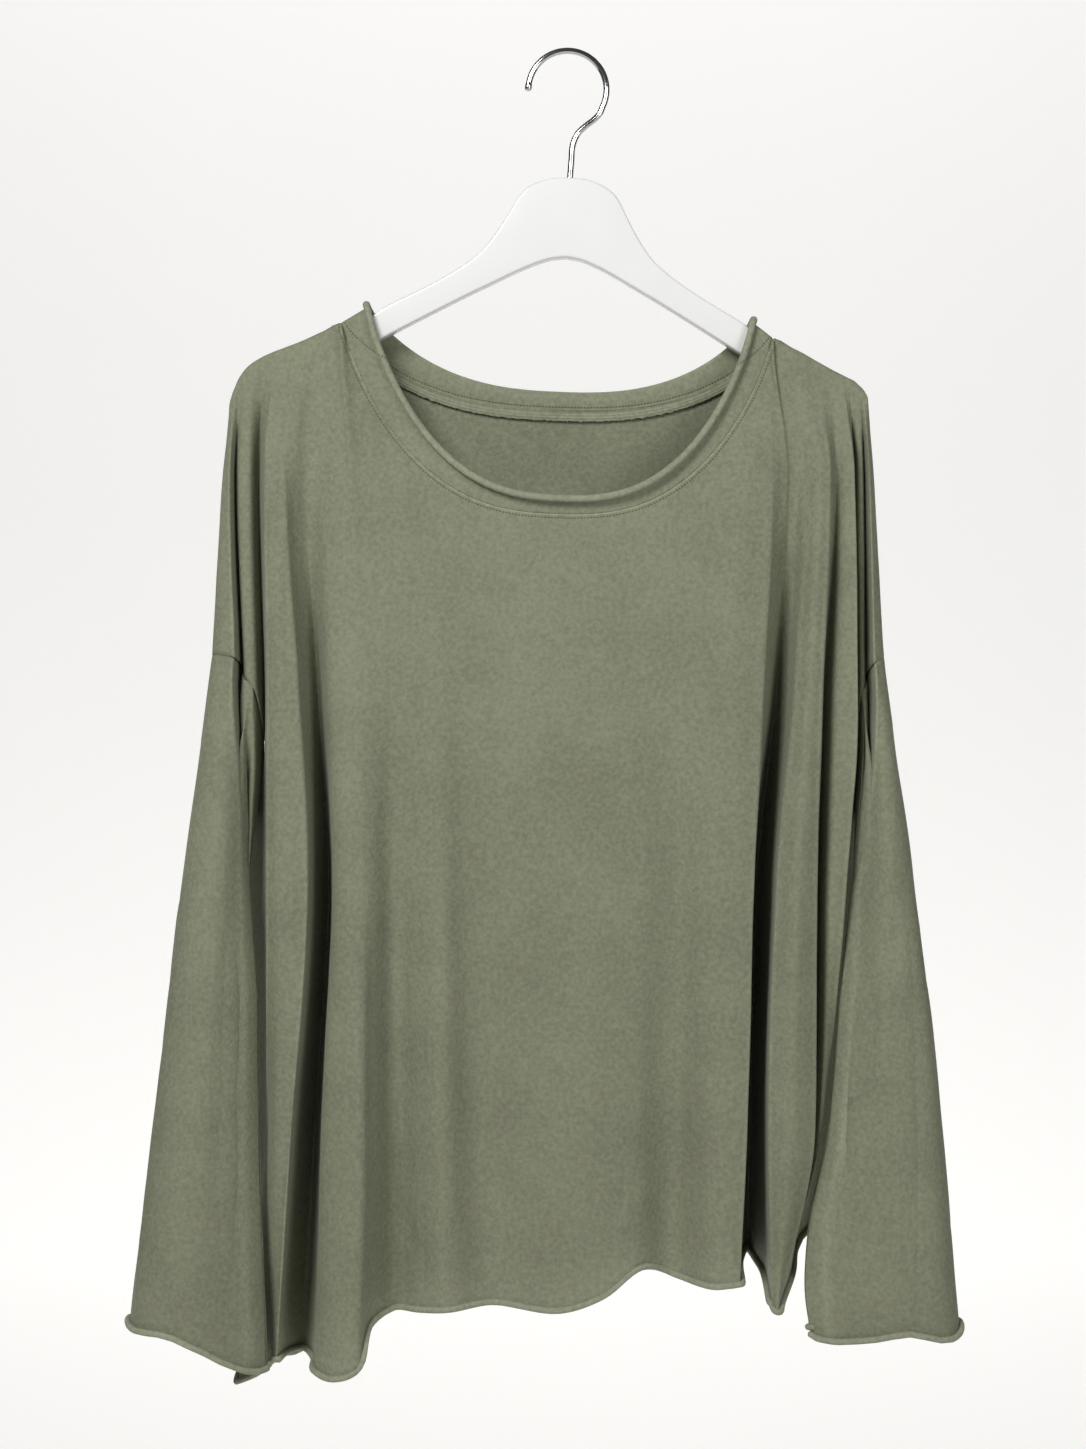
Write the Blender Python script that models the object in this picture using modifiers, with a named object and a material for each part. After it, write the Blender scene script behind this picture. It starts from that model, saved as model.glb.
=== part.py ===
"""Long-sleeved drop-shoulder jersey top on a flat white hanger with a wire hook.

Metres, +Z up, +X to the right as the front is seen, -Y towards the viewer.
The origin is the inner top of the hook, where a rail or a peg carries it.
"""
import math
from collections import namedtuple

import bpy
import numpy as np
from mathutils import Vector

MM = 0.001

# Cloth
WALL = 1.5 * MM
ROLL = 3.8 * MM               # thickness of a raw edge that has rolled up
ROLL_ROWS = ((5.2 * MM, 0.0), (3.6 * MM, 0.9), (1.6 * MM, 1.0), (0.0, 0.72))
SEAM_GAP = 0.35 * MM
ARMHOLE_GAP = 1.5 * MM        # wider, because the folded edges there lean
EDGE_TURN = 0.9               # how sharply the side seams turn, as a share of half the wall
SPAN_STEPS = 2                # faces between two fold lines

# Hanger, in its own frame before it tilts
HANGER_TILT = math.radians(2.6)
HANGER_CENTRE = (-0.6 * MM, -116.7 * MM)
HANGER_THICK = 12 * MM
HANGER_EDGE = 2.6 * MM
SOCKET_SIDES = 20

# Hook
WIRE = 4.5 * MM
HOOK_RADIUS = 27.9 * MM
HOOK_CENTRE = (-1.1 * MM, -HOOK_RADIUS + WIRE / 2)
HOOK_ARC = (-25.0, 171.0)     # degrees, from the stem's side over the top to the tip
HOOK_STEPS = 16
HOOK_STEM = ((1.7, -76.0), (2.5, -66.0), (5.8, -57.8), (11.4, -52.0), (17.4, -47.4), (22.0, -42.6))
HOOK_TIP = (0.62, 1.12, 1.12)  # swell of the wire's last points, from the tip back
SOCKET_DEPTH = 12 * MM
SOCKET_CLEAR = 0.3 * MM
STEM_CLEAR = 1.0 * MM         # between the stem's end and the socket's floor

# Neck: left and right ends on the shoulders, as x and z in mm, then the drop at the centre
NECK_POWERS = (2.6, 0.8)      # how full the arc is, and how sharply it leaves the shoulder
NECK_GAP = 1.1                # mm from the band's seam to the panels' edges, wall and all
NECK_DEPTH_POWER = 1.3        # how soon the neck comes forward as it drops
NECK_SLACK = (1.0, 1.5)       # mm past its ends, and below the shoulder, where the neck still counts
Arc = namedtuple("Arc", "left right drop_mm y_mm")
FRONT_SEAM = Arc((-162.0, -192.5), (144.5, -203.0), 133.8, -31.0)
FRONT_EDGE = Arc((-142.0, -180.5), (129.0, -191.0), 132.3, -30.0)
BACK_SEAM = Arc((-162.0, -192.5), (144.5, -203.0), 54.0, 22.0)
BACK_EDGE = Arc((-142.0, -180.5), (129.0, -191.0), 52.3, 20.0)
BAND_STEPS = (32, 22)         # faces along the front half and the back half
BAND_ROWS = 2
BAND_CROWDING = 0.5           # how far the band's points crowd towards the shoulders

# Heights in mm where the fold tables give their places
CHEST_Z = -300.0
WAIST_Z = -590.0
HIP_Z = -760.0
CHEST_REACH = 14.0            # mm that a fold must start above the chest to bend there
PANEL_ROWS = (6, 8)           # rows from the shoulder to the armhole level, and below it
PANEL_CROWDING = 1.25         # how far those rows crowd towards the shoulder
SHOULDER_ROLL = ((0.0, 0.6), (0.7, 4.2), (2.4, 6.9), (8.0, 7.9))   # drop, depth in mm
ARM_HEIGHT = 30.0             # mm of drop over which an arm stands behind the cloth
ARM_EASE = 18.0               # mm more over which the cloth may then fall back
NECK_SPREAD = 3.5             # rows lie this much wider apart under the neck seam
UNDERARM_SHIFT = 2.2          # mm between a sleeve and the body at the underarm
ROLL_STAND = 1.3              # mm that the band's rolled edge stands further out
SLEEVE_ROWS = 12
SLEEVE_CROWDING = 1.15
SLEEVE_BLEND = 150.0          # mm below the seam where the armhole's folds have eased out

HangerStation = namedtuple("HangerStation", "x top bottom")
HANGER = [HangerStation(*row) for row in (
    (0.0, 27.4, -29.5), (10.0, 26.9, -30.9), (18.0, 25.0, -33.6), (26.0, 21.6, -37.0),
    (32.0, 17.2, -39.9), (36.5, 11.2, -42.2), (41.0, 2.8, -44.5), (45.0, -4.4, -46.8),
    (50.0, -12.8, -49.4), (55.0, -20.2, -52.2), (61.0, -27.8, -55.3), (70.0, -35.8, -60.2),
    (90.0, -49.5, -71.4), (110.0, -60.8, -82.8), (128.0, -70.8, -93.1), (146.0, -84.6, -103.0),
    (162.0, -95.0, -112.0), (185.0, -104.6, -124.0), (203.0, -112.4, -131.0), (209.0, -115.6, -132.5),
    (213.5, -119.0, -131.0), (216.5, -123.0, -127.0))]

# The line of both shoulders, x and z in mm, from the left sleeve's seam to the right one's
SHOULDER = ((-243.0, -258.0), (-241.0, -247.0), (-237.0, -235.0), (-231.0, -226.0),
            (-223.0, -219.0), (-211.0, -213.5), (-190.0, -205.5), (-163.0, -193.0),
            (145.0, -203.5), (166.0, -214.0), (185.0, -225.0), (203.0, -234.0),
            (209.5, -240.0), (213.6, -247.0), (215.2, -256.0))

# One row for each fold line, from the left shoulder seam to the right one. In mm: x at the
# top edge, chest, armhole level, waist, hip and hem, then y from the chest down, then the
# height of the armhole level and of the hem. Sleeve folds stop at the armhole.
Fold = namedtuple("Fold", "name x_top x_chest x_arm x_waist x_hip x_hem "
                          "y_chest y_arm y_waist y_hip y_hem z_arm z_hem")


def arm_fold(name, x_top, x_chest, x_arm, y_chest, y_arm, z_arm):
    """A fold line that runs on into the sleeve."""
    return Fold(name, x_top, x_chest, x_arm, None, None, None,
                y_chest, y_arm, None, None, None, z_arm, None)


FRONT = [
    arm_fold("shoulder seam", -242.4, -246.4, -254.3, -0.6, -0.6, -430),
    arm_fold("outer strip, side", -240.6, -243.8, -250.0, -13, -20, -430),
    arm_fold("outer strip, edge", -238.0, -237.6, -234.6, -20, -30, -432),
    arm_fold("outer recess", -233.5, -234.2, -230.5, -5, -10, -438),
    arm_fold("inner strip, left", -229.0, -230.6, -227.0, -13, -20, -447),
    arm_fold("inner strip, right", -224.4, -225.2, -219.8, -15, -21, -456),
    Fold("side seam", -218.0, -221.0, -214.6, -235, -232, -238, -1.5, -1.2, 30, 38, 45, -492, -953),
    Fold("fold A, side", -214.5, -217.5, -213.4, -217, -218.5, -240, -14, -18, -3, 10, 41, -478, -957),
    Fold("fold A, left", -211.0, -214.6, -212.2, -212, -213.5, -240, -24, -33, -35, -20, 30, -468, -959),
    Fold("fold A, face", -203.0, -207.5, -203.0, -202, -206, -221, -27, -38, -42, -38, 2, -455, -945),
    Fold("fold A, right", -193.0, -199.5, -189.5, -181.5, -191, -201.5, -26, -38, -43, -46, -30, -450, -928),
    Fold("trough A to B, left", -188.0, -194.5, -186.5, -181, -190.5, -199.5, -24, -22, -14, -8, -8, -450, -929),
    Fold("trough A to B", -184.0, -189.0, -180.0, -175, -183, -190.5, -23, -14, 4, 12, 8, -450, -930),
    Fold("trough A to B, right", -180.0, -182.0, -174.0, -168.5, -175, -180.5, -23, -22, -14, -10, -10, -450, -931),
    Fold("fold B, left", -176.0, -176.0, -171.0, -167, -173, -177, -22, -34, -38, -40, -38, -450, -933),
    Fold("fold B, face", -168.5, -166.0, -160.0, -157, -160, -164, -26, -37.5, -45.5, -50, -52, -450, -935),
    Fold("fold B, crest", -163.0, -156.0, -149.5, -146, -145.5, -148.5, -28, -38.5, -46.5, -54, -52, -450, -929),
    Fold("fold B, step", -157.5, -147.0, -139.0, -136, -136, -141.0, -27.5, -37.5, -43, -45, -39, -450, -901),
    Fold("front, left hollow", -142.0, -131.0, -125.0, -122, -121, -122, -27.5, -36, -38, -38, -36, -450, -893),
    Fold("front, neck left", -121.0, -116.0, -111.0, -108, -107, -106, -27, -36, -38.5, -40, -40, -450, -891),
    Fold("front, left swell", -96.0, -98.0, -94.0, -91, -90, -90.5, -28, -38, -41, -43, -43, -450, -889),
    Fold("front, mid hollow", -58.0, -58.0, -56.5, -56, -56, -55.5, -30, -38, -38, -38, -39, -450, -887),
    Fold("front, centre", -8.0, -8.0, -8.0, -8, -8, -7, -31, -38, -41, -43, -44, -450, -890),
    Fold("front, right swell", 24.0, 24.0, 22.0, 21, 21, 21, -30, -38, -41, -43, -43, -450, -880),
    Fold("front, right hollow", 62.0, 64.0, 60.0, 57, 56, 56, -29, -36, -38, -37, -35, -450, -861),
    Fold("front, last swell", 100.0, 104.0, 100.0, 97, 95, 94, -27, -38, -43, -47, -47, -450, -872),
    Fold("front, neck right", 124.0, 126.0, 118.0, 112, 110, 107, -26, -37, -45, -49, -49, -450, -871),
    Fold("front, right edge", 141.0, 143.5, 136.0, 128.5, 123.5, 118.5, -24, -34, -44, -48, -48, -450, -870),
    Fold("deep recess, left", 142.5, 146.5, 138.5, 129, 124, 120.5, -23, -18, -12, -6, -4, -450, -863),
    Fold("deep recess", 146.0, 152.5, 147.5, 137, 132.5, 130, -21, -4, 16, 24, 26, -450, -861),
    Fold("deep recess, right", 150.5, 158.5, 155, 144, 138.5, 139.5, -21, -16, -10, -6, -4, -450, -870),
    Fold("fold 1, left", 155.0, 162.5, 157.0, 144.5, 138.5, 141, -22, -32, -41, -46, -46, -450, -883),
    Fold("fold 1, face", 166.0, 174.0, 167.0, 158, 153, 144, -28, -39, -50, -54, -49, -450, -889),
    Fold("fold 1, right", 177.0, 184.5, 177.0, 172.3, 170.5, 146.5, -25, -35, -42, -45, -41, -452, -884),
    Fold("recess 1 to 2", 188.0, 190.5, 183.0, 176.5, 173, 157, -18, -13, -14, -14, -14, -456, -868),
    Fold("fold 2, left", 191.5, 195.0, 188.5, 183, 177, 160, -20, -30, -32, -27, 4, -460, -858),
    Fold("fold 2, right", 196.0, 199.4, 199.6, 194.3, 179.5, 165, -23, -32, -32, -20, 14, -470, -850),
    Fold("fold 2, side", 198.5, 201.5, 201.5, 192.5, 178.5, 173, -13, -16, -6, 2, 14, -484, -844),
    Fold("side seam", 200.0, 202.4, 203.2, 203, 193, 187, -1.5, -1.2, 28, 32, 28, -498, -838),
    arm_fold("inner strip, left", 203.0, 205.2, 205.8, -12, -18, -460),
    arm_fold("inner strip, right", 206.5, 208.4, 209.0, -12, -18, -452),
    arm_fold("inner recess", 208.8, 210.8, 211.6, -5, -9, -444),
    arm_fold("outer strip, edge", 210.4, 212.8, 214.4, -18, -29, -436),
    arm_fold("outer strip, side", 212.0, 215.2, 221.4, -11, -20, -432),
    arm_fold("shoulder seam", 213.2, 217.0, 224.2, -0.6, -0.6, -430),
]

BACK = [
    arm_fold("shoulder seam", -242.4, -246.4, -254.3, 0.6, 0.6, -430),
    arm_fold("outer strip, side", -241.0, -245.4, -253.0, 14, 20, -430),
    arm_fold("outer strip, edge", -238.0, -238.5, -237.0, 21, 30, -433),
    arm_fold("outer recess", -232.0, -233.8, -230.0, 8, 13, -444),
    arm_fold("inner strip", -224.0, -226.5, -220.5, 17, 24, -458),
    Fold("side seam", -218.0, -221.0, -214.6, -235, -232, -238, 4.5, 1.2, 30, 38, 45, -492, -953),
    Fold("back fold 1", -208.0, -211.0, -206.0, -204, -209, -219, 22, 34, 46, 54, 62, -465, -948),
    Fold("back trough 1", -194.0, -195.0, -188.0, -184, -190, -197, 14, 18, 24, 28, 36, -455, -938),
    Fold("back fold 2", -178.0, -178.0, -170.0, -165, -166, -170, 25, 40, 54, 60, 60, -450, -930),
    Fold("back trough 2", -163.0, -155.0, -148.0, -143, -141, -143, 24, 32, 36, 40, 43, -450, -912),
    Fold("back, neck left", -158.0, -138.0, -130, -124, -121, -122, 24, 35, 41, 46, 48, -450, -906),
    Fold("back, left swell", -120.0, -112.0, -108.0, -102, -99, -98, 25, 37, 46, 51, 52, -450, -902),
    Fold("back, left hollow", -70.0, -68.0, -62.0, -58, -55, -54, 25, 34, 40, 43, 44, -450, -898),
    Fold("back, centre", -8.0, -8.0, -7.0, -6, -5, -4, 25, 36, 45, 50, 51, -450, -889),
    Fold("back, right hollow", 46.0, 46.0, 46.0, 47, 48, 48, 25, 34, 39, 42, 43, -450, -874),
    Fold("back, right swell", 96.0, 94.0, 92.0, 90, 88, 86, 25, 37, 48, 54, 55, -450, -870),
    Fold("back trough 3", 139.5, 132.0, 126.0, 120, 116, 112, 22, 30, 34, 36, 37, -450, -867),
    Fold("back, neck right", 146.0, 147.0, 140, 133, 129, 125, 24, 36, 44, 48, 48, -450, -865),
    Fold("back fold 3", 162.0, 161.0, 152.0, 145, 141, 138, 25, 40, 53, 59, 58, -450, -858),
    Fold("back trough 4", 178.0, 178.0, 172.0, 166, 162, 158, 14, 18, 24, 30, 34, -455, -850),
    Fold("back fold 4", 193.0, 194.0, 192.0, 187, 181, 176, 22, 34, 46, 52, 50, -465, -846),
    Fold("side seam", 200.0, 202.4, 203.2, 203, 193, 187, 4.5, 1.2, 28, 32, 28, -498, -838),
    arm_fold("inner strip", 205.0, 206.6, 207.0, 17, 24, -458),
    arm_fold("outer recess", 208.4, 210.2, 211.4, 7, 12, -444),
    arm_fold("outer strip, edge", 210.4, 212.8, 215.0, 20, 30, -434),
    arm_fold("outer strip, side", 212.2, 216.0, 222.2, 13, 21, -431),
    arm_fold("shoulder seam", 213.2, 217.0, 224.2, 0.6, 0.6, -430),
]

# Sleeve sections down to the cuff: height, then the sides, front and back, in mm
Section = namedtuple("Section", "z left right front back")
LEFT_SLEEVE = [Section(*row) for row in (
    (-430, -254.3, -214.6, -30, 30), (-500, -262.4, -215.8, -42, 24), (-520, -265.0, -221.5, -45, 22),
    (-545, -268.0, -223.0, -48, 19),
    (-590, -273.5, -225.0, -52, 14), (-680, -283.2, -219.5, -60, 8), (-760, -291.8, -217.8, -66, 4),
    (-830, -300.2, -215.8, -69, 2), (-915, -309.2, -212.5, -70, 2))]
RIGHT_SLEEVE = [Section(*row) for row in (
    (-430, 203.2, 224.8, -30, 30), (-500, 203.0, 232.5, -42, 24), (-545, 200.5, 238, -48, 19),
    (-590, 198.5, 243, -52, 14), (-680, 191, 253, -58, 6), (-760, 182.5, 260.5, -62, 0),
    (-830, 167.5, 266.6, -66, -2), (-870, 164.5, 269.6, -68, -2), (-915, 170, 273.4, -70, -2))]
# Height of the cuff at the section's left and right, and how far its front rises above that
Cuff = namedtuple("Cuff", "left right rise")     # mm at the sides, and the front's rise
LEFT_CUFF = Cuff(-897.0, -931.0, 3.0)
RIGHT_CUFF = Cuff(-904.0, -900.0, -4.0)
# Degrees round the section, from the shoulder seam over the front, and over the back
SLEEVE_ANGLES = (184, 208, 236, 262, 288, 322, 356)
BACK_ANGLES = (176, 148, 112, 76, 40, 4)


def clear_scene():
    for obj in list(bpy.data.objects):
        bpy.data.objects.remove(obj, do_unlink=True)


def material(name, colour, roughness, metallic=0.0):
    mat = bpy.data.materials.new(name)
    mat.use_nodes = True
    shader = mat.node_tree.nodes["Principled BSDF"]
    shader.inputs["Base Color"].default_value = (*colour, 1.0)
    shader.inputs["Roughness"].default_value = roughness
    shader.inputs["Metallic"].default_value = metallic
    return mat


def smooth_table(knots, values, at):
    """Monotone cubic through a short table, so that no value overshoots between rows."""
    knots = np.asarray(knots, float)
    values = np.asarray(values, float)
    if knots[0] > knots[-1]:
        knots, values = knots[::-1], values[::-1]
    step = np.diff(knots)
    slope = np.diff(values) / step
    tangent = np.zeros(len(knots))
    for i in range(1, len(knots) - 1):
        if slope[i - 1] * slope[i] > 0:
            w1 = 2 * step[i] + step[i - 1]
            w2 = step[i] + 2 * step[i - 1]
            tangent[i] = (w1 + w2) / (w1 / slope[i - 1] + w2 / slope[i])
    tangent[0], tangent[-1] = slope[0], slope[-1]
    at = np.clip(np.asarray(at, float), knots[0], knots[-1])
    i = np.clip(np.searchsorted(knots, at, side="right") - 1, 0, len(step) - 1)
    t = (at - knots[i]) / step[i]
    return ((2 * t**3 - 3 * t**2 + 1) * values[i] + (t**3 - 2 * t**2 + t) * step[i] * tangent[i]
            + (3 * t**2 - 2 * t**3) * values[i + 1] + (t**3 - t**2) * step[i] * tangent[i + 1])


def through_points(points, steps, closed=False):
    """Centripetal spline through points, with the same number of steps in each span."""
    points = np.asarray(points, float)
    count = len(points)
    spans = count if closed else count - 1
    out = []
    for s in range(spans):
        if closed:
            p = [points[(s + k - 1) % count] for k in range(4)]
        else:
            p = [points[min(max(s + k - 1, 0), count - 1)] for k in range(4)]
            if s == 0:
                p[0] = 2 * p[1] - p[2]
            if s == spans - 1:
                p[3] = 2 * p[2] - p[1]
        t = [0.0]
        for a, b in zip(p, p[1:]):
            t.append(t[-1] + max(np.linalg.norm(b - a), 1e-9) ** 0.5)
        for k in range(steps):
            u = t[1] + (t[2] - t[1]) * k / steps
            a1 = ((t[1] - u) * p[0] + (u - t[0]) * p[1]) / (t[1] - t[0])
            a2 = ((t[2] - u) * p[1] + (u - t[1]) * p[2]) / (t[2] - t[1])
            a3 = ((t[3] - u) * p[2] + (u - t[2]) * p[3]) / (t[3] - t[2])
            b1 = ((t[2] - u) * a1 + (u - t[0]) * a2) / (t[2] - t[0])
            b2 = ((t[3] - u) * a2 + (u - t[1]) * a3) / (t[3] - t[1])
            out.append(((t[2] - u) * b1 + (u - t[1]) * b2) / (t[2] - t[1]))
    if not closed:
        out.append(points[-1])
    return np.array(out)


def arc_shape(arc, x, grow=0.0):
    """Height and share of the drop on a neck arc at x, in mm."""
    (left_x, left_z), (right_x, right_z) = arc.left, arc.right
    middle = (left_x + right_x) / 2
    half = (right_x - left_x) / 2 + grow
    across = min(abs((x - middle) / half), 1.0)
    share = (1 - across ** NECK_POWERS[0]) ** NECK_POWERS[1]
    chord = left_z + (right_z - left_z) * (x - left_x) / (right_x - left_x)
    return chord - (arc.drop_mm + grow) * share, share


def over_arm(drop):
    """How far the cloth stands out where it has passed over an arm and dropped by this much."""
    drops, depths = zip(*SHOULDER_ROLL)
    return float(smooth_table(drops, depths, min(drop, drops[-1])))


def arc_depth(arc, share):
    side = math.copysign(1.0, arc.y_mm)
    start = over_arm(share * arc.drop_mm)
    return side * (start + (abs(arc.y_mm) - start) * share**NECK_DEPTH_POWER)


def shoulder_z(x):
    xs, zs = zip(*SHOULDER)
    return float(np.interp(x, xs, zs))


def arm_clearance(x, z):
    """Least depth at which a point of a panel passes the hanger's arm."""
    drop = shoulder_z(x) - z
    ease = min(max((drop - ARM_HEIGHT) / ARM_EASE, 0.0), 1.0)
    return over_arm(max(drop, 0.0)) * (1 - ease * ease * (3 - 2 * ease)) if ease < 1 else -math.inf


def neck_at(x, arc):
    """Height and depth of the neck seam at x, or None where the panel starts at the shoulder."""
    past, below = NECK_SLACK
    if arc.left[0] - past < x < arc.right[0] + past:
        z, share = arc_shape(arc, x, grow=NECK_GAP)
        if z < shoulder_z(x) - below:
            return z, arc_depth(arc, share)
    return None


def fold_top(fold, arc):
    """Top of a fold line: on the neck seam inside the neck's width, else on the shoulder."""
    neck = neck_at(fold.x_top, arc)
    return (*neck, True) if neck else (shoulder_z(fold.x_top), 0.0, False)


def fold_line(fold, arc, side):
    """Points down one fold line, in mm: the rows to the armhole level, and those below it."""
    z_top, y_top, on_neck = fold_top(fold, arc)
    knots = [(z_top, fold.x_top, y_top if on_neck else side * SHOULDER_ROLL[0][1])]
    seam_line = fold.name == "shoulder seam"
    if not on_neck and not seam_line:
        knots += [(z_top - drop, fold.x_top, side * depth) for drop, depth in SHOULDER_ROLL[1:]]
    if z_top > CHEST_Z + CHEST_REACH:
        knots.append((CHEST_Z, fold.x_chest, fold.y_chest))
    knots.append((fold.z_arm, fold.x_arm, fold.y_arm))
    whole = fold.x_hem is not None
    if whole:
        knots += [(WAIST_Z, fold.x_waist, fold.y_waist), (HIP_Z, fold.x_hip, fold.y_hip),
                  (fold.z_hem, fold.x_hem, fold.y_hem)]
    zs, xs, ys = zip(*knots)
    spread = NECK_SPREAD if on_neck else 1.0
    first = z_top - SHOULDER_ROLL[-1][0] * spread
    rows = [z_top - drop * spread for drop, _ in SHOULDER_ROLL[:-1]]
    for k in range(PANEL_ROWS[0] + 1):
        rows.append(first + (fold.z_arm - first) * (k / PANEL_ROWS[0]) ** PANEL_CROWDING)
    upper = len(rows)
    if whole:
        last = fold.z_hem + ROLL_ROWS[0][0] / MM
        rows += [fold.z_arm + (last - fold.z_arm) * k / PANEL_ROWS[1] for k in range(1, PANEL_ROWS[1])]
        rows += [fold.z_hem + up / MM for up, _ in ROLL_ROWS]
    xs_at = smooth_table(zs, xs, rows)
    ys_at = smooth_table(zs, ys, rows)
    if not seam_line:
        ys_at = [side * max(side * y, arm_clearance(x, z)) for x, y, z in zip(xs_at, ys_at, rows)]
    return np.column_stack([xs_at, ys_at, rows]), upper


def draw_in(row, distance):
    """Shorten a row at both ends, so that the panels' edges meet with a gap."""
    for end, inner in ((0, 1), (-1, -2)):
        along = row[inner] - row[end]
        row[end] = row[end] + along * (distance / np.linalg.norm(along))


def fit_neck(rows, upper, arc):
    """Bring the top row onto the neck seam's true curve, and ease that away further down."""
    top = rows[0]
    shifts = np.zeros_like(top)
    for c, (x, y, z) in enumerate(top):
        neck = neck_at(x, arc)
        if neck:
            shifts[c] = (0.0, neck[1] - y, neck[0] - z)
    for r in range(upper):
        fade = (1 - r / upper) ** 2
        rows[r] = rows[r] + shifts * fade


def panel_rows(folds, arc, side):
    """Rows of points of a panel: all fold lines down to the armhole, the body's below it."""
    lines = [fold_line(fold, arc, side) for fold in folds]
    upper = lines[0][1]
    body = [i for i, fold in enumerate(folds) if fold.x_hem is not None]
    total = len(lines[body[0]][0])
    rows = []
    for r in range(total):
        use = range(len(folds)) if r < upper else body
        row = through_points([lines[i][0][r] for i in use], SPAN_STEPS)
        if r >= upper:
            rolled = r >= total - len(ROLL_ROWS)
            draw_in(row, (ROLL if rolled else WALL) / MM / 2 * EDGE_TURN + SEAM_GAP / MM / 2)
        rows.append(row)
    fit_neck(rows, upper, arc)
    return rows, upper, body[0] * SPAN_STEPS


def panel_mesh(name, rows, upper, skip, side):
    verts, faces, grid = [], [], []
    for r, row in enumerate(rows):
        offset = 0 if r < upper else skip
        ids = {}
        for c, point in enumerate(row):
            ids[c + offset] = len(verts)
            verts.append(Vector(point) * MM)
        grid.append(ids)
    for upper_row, lower_row in zip(grid, grid[1:]):
        for c in sorted(lower_row):
            if c + 1 in lower_row:
                quad = (upper_row[c], lower_row[c], lower_row[c + 1], upper_row[c + 1])
                faces.append(quad if side < 0 else quad[::-1])
    thick = {}
    for (_, share), ids in zip(ROLL_ROWS, grid[-len(ROLL_ROWS):]):
        for v in ids.values():
            thick[v] = share
    return open_mesh(name, verts, faces), thick


def open_mesh(name, verts, faces):
    mesh = bpy.data.meshes.new(name)
    mesh.from_pydata(verts, [], faces)
    mesh.validate()
    return mesh


def cloth_object(name, mesh, thick, mat, collection):
    """Give an open sheet its wall, thicker where a raw edge has rolled."""
    obj = bpy.data.objects.new(name, mesh)
    collection.objects.link(obj)
    group = obj.vertex_groups.new(name="wall")
    for v in range(len(mesh.vertices)):
        share = thick.get(v, 0.0)
        group.add([v], (WALL + (ROLL - WALL) * share) / ROLL, 'REPLACE')
    solid = obj.modifiers.new("Wall", 'SOLIDIFY')
    solid.thickness = ROLL
    solid.offset = 0.0
    solid.vertex_group = group.name
    solid.thickness_vertex_group = 0.0
    solid.use_even_offset = False
    solid.use_quality_normals = True
    mesh.materials.append(mat)
    mesh.shade_smooth()
    return obj


def armhole(panels, left):
    """The armhole's edge in ring order, front half and then back half, each point with its angle."""
    ring = []
    for rows, upper, skip, folds in panels:
        edge = rows[upper - 1]
        names = [fold.name for fold in folds]
        edge = edge if left else edge[::-1]
        names = names if left else names[::-1]
        count = names.index("side seam")
        table = SLEEVE_ANGLES if folds is FRONT else BACK_ANGLES
        angles = [table[k] for k in range(count + 1)]
        half = []
        for c in range(count * SPAN_STEPS + 1):
            span, part = divmod(c, SPAN_STEPS)
            angle = angles[span] + (angles[min(span + 1, count)] - angles[span]) * part / SPAN_STEPS
            half.append((edge[c], angle if left else 180 - angle))
        ring += half if folds is FRONT else half[::-1]
    return ring


def sleeve_mesh(name, ring, sections, cuff, left):
    """A tube that starts as the armhole's folded ring and eases into the sleeve's sections."""
    zs = [s.z for s in sections]

    def section(z):
        return [float(smooth_table(zs, [getattr(s, f) for s in sections], z))
                for f in ("left", "right", "front", "back")]
    rows = []
    for row in range(SLEEVE_ROWS + len(ROLL_ROWS)):
        points = []
        for (x_arm, y_arm, z_arm), angle in ring:
            turn = math.radians(angle)
            under = max(0.0, math.cos(turn) * (1 if left else -1))**2
            x_arm += UNDERARM_SHIFT * under * (-1 if left else 1)
            z_arm -= UNDERARM_SHIFT / 2 * under
            z_cuff = cuff.left + (cuff.right - cuff.left) * (math.cos(turn) + 1) / 2
            z_cuff += cuff.rise * max(0.0, -math.sin(turn))
            z_seam = z_arm - ARMHOLE_GAP / MM
            left0, right0, front0, back0 = section(z_seam)
            z_last = z_cuff + ROLL_ROWS[0][0] / MM
            if row < SLEEVE_ROWS:
                z = z_seam + (z_last - z_seam) * (row / SLEEVE_ROWS) ** SLEEVE_CROWDING
            else:
                z = z_cuff + ROLL_ROWS[row - SLEEVE_ROWS][0] / MM
            x0, x1, y0, y1 = section(z)
            middle = ((x0 + x1) / 2, (y0 + y1) / 2)
            oval = (middle[0] + (x1 - x0) / 2 * math.cos(turn), middle[1] + (y1 - y0) / 2 * math.sin(turn))
            ease = min(max((z_seam - z) / SLEEVE_BLEND, 0.0), 1.0)
            ease = ease * ease * (3 - 2 * ease)
            hung = (x0 + (x_arm - left0) * (x1 - x0) / (right0 - left0),
                    y0 + (y_arm - front0) * (y1 - y0) / (back0 - front0))
            points.append((hung[0] + (oval[0] - hung[0]) * ease, hung[1] + (oval[1] - hung[1]) * ease, z))
        rows.append(points)
    return tube_mesh(name, rows, outward=left)


def tube_mesh(name, rows, outward):
    count = len(rows[0])
    verts = [Vector(p) * MM for row in rows for p in row]
    faces = []
    for r in range(len(rows) - 1):
        for c in range(count):
            n = (c + 1) % count
            quad = (r * count + c, (r + 1) * count + c, (r + 1) * count + n, r * count + n)
            faces.append(quad if outward else quad[::-1])
    thick = {}
    for k, (_, share) in enumerate(ROLL_ROWS):
        r = len(rows) - len(ROLL_ROWS) + k
        for c in range(count):
            thick[r * count + c] = share
    return open_mesh(name, verts, faces), thick


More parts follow.
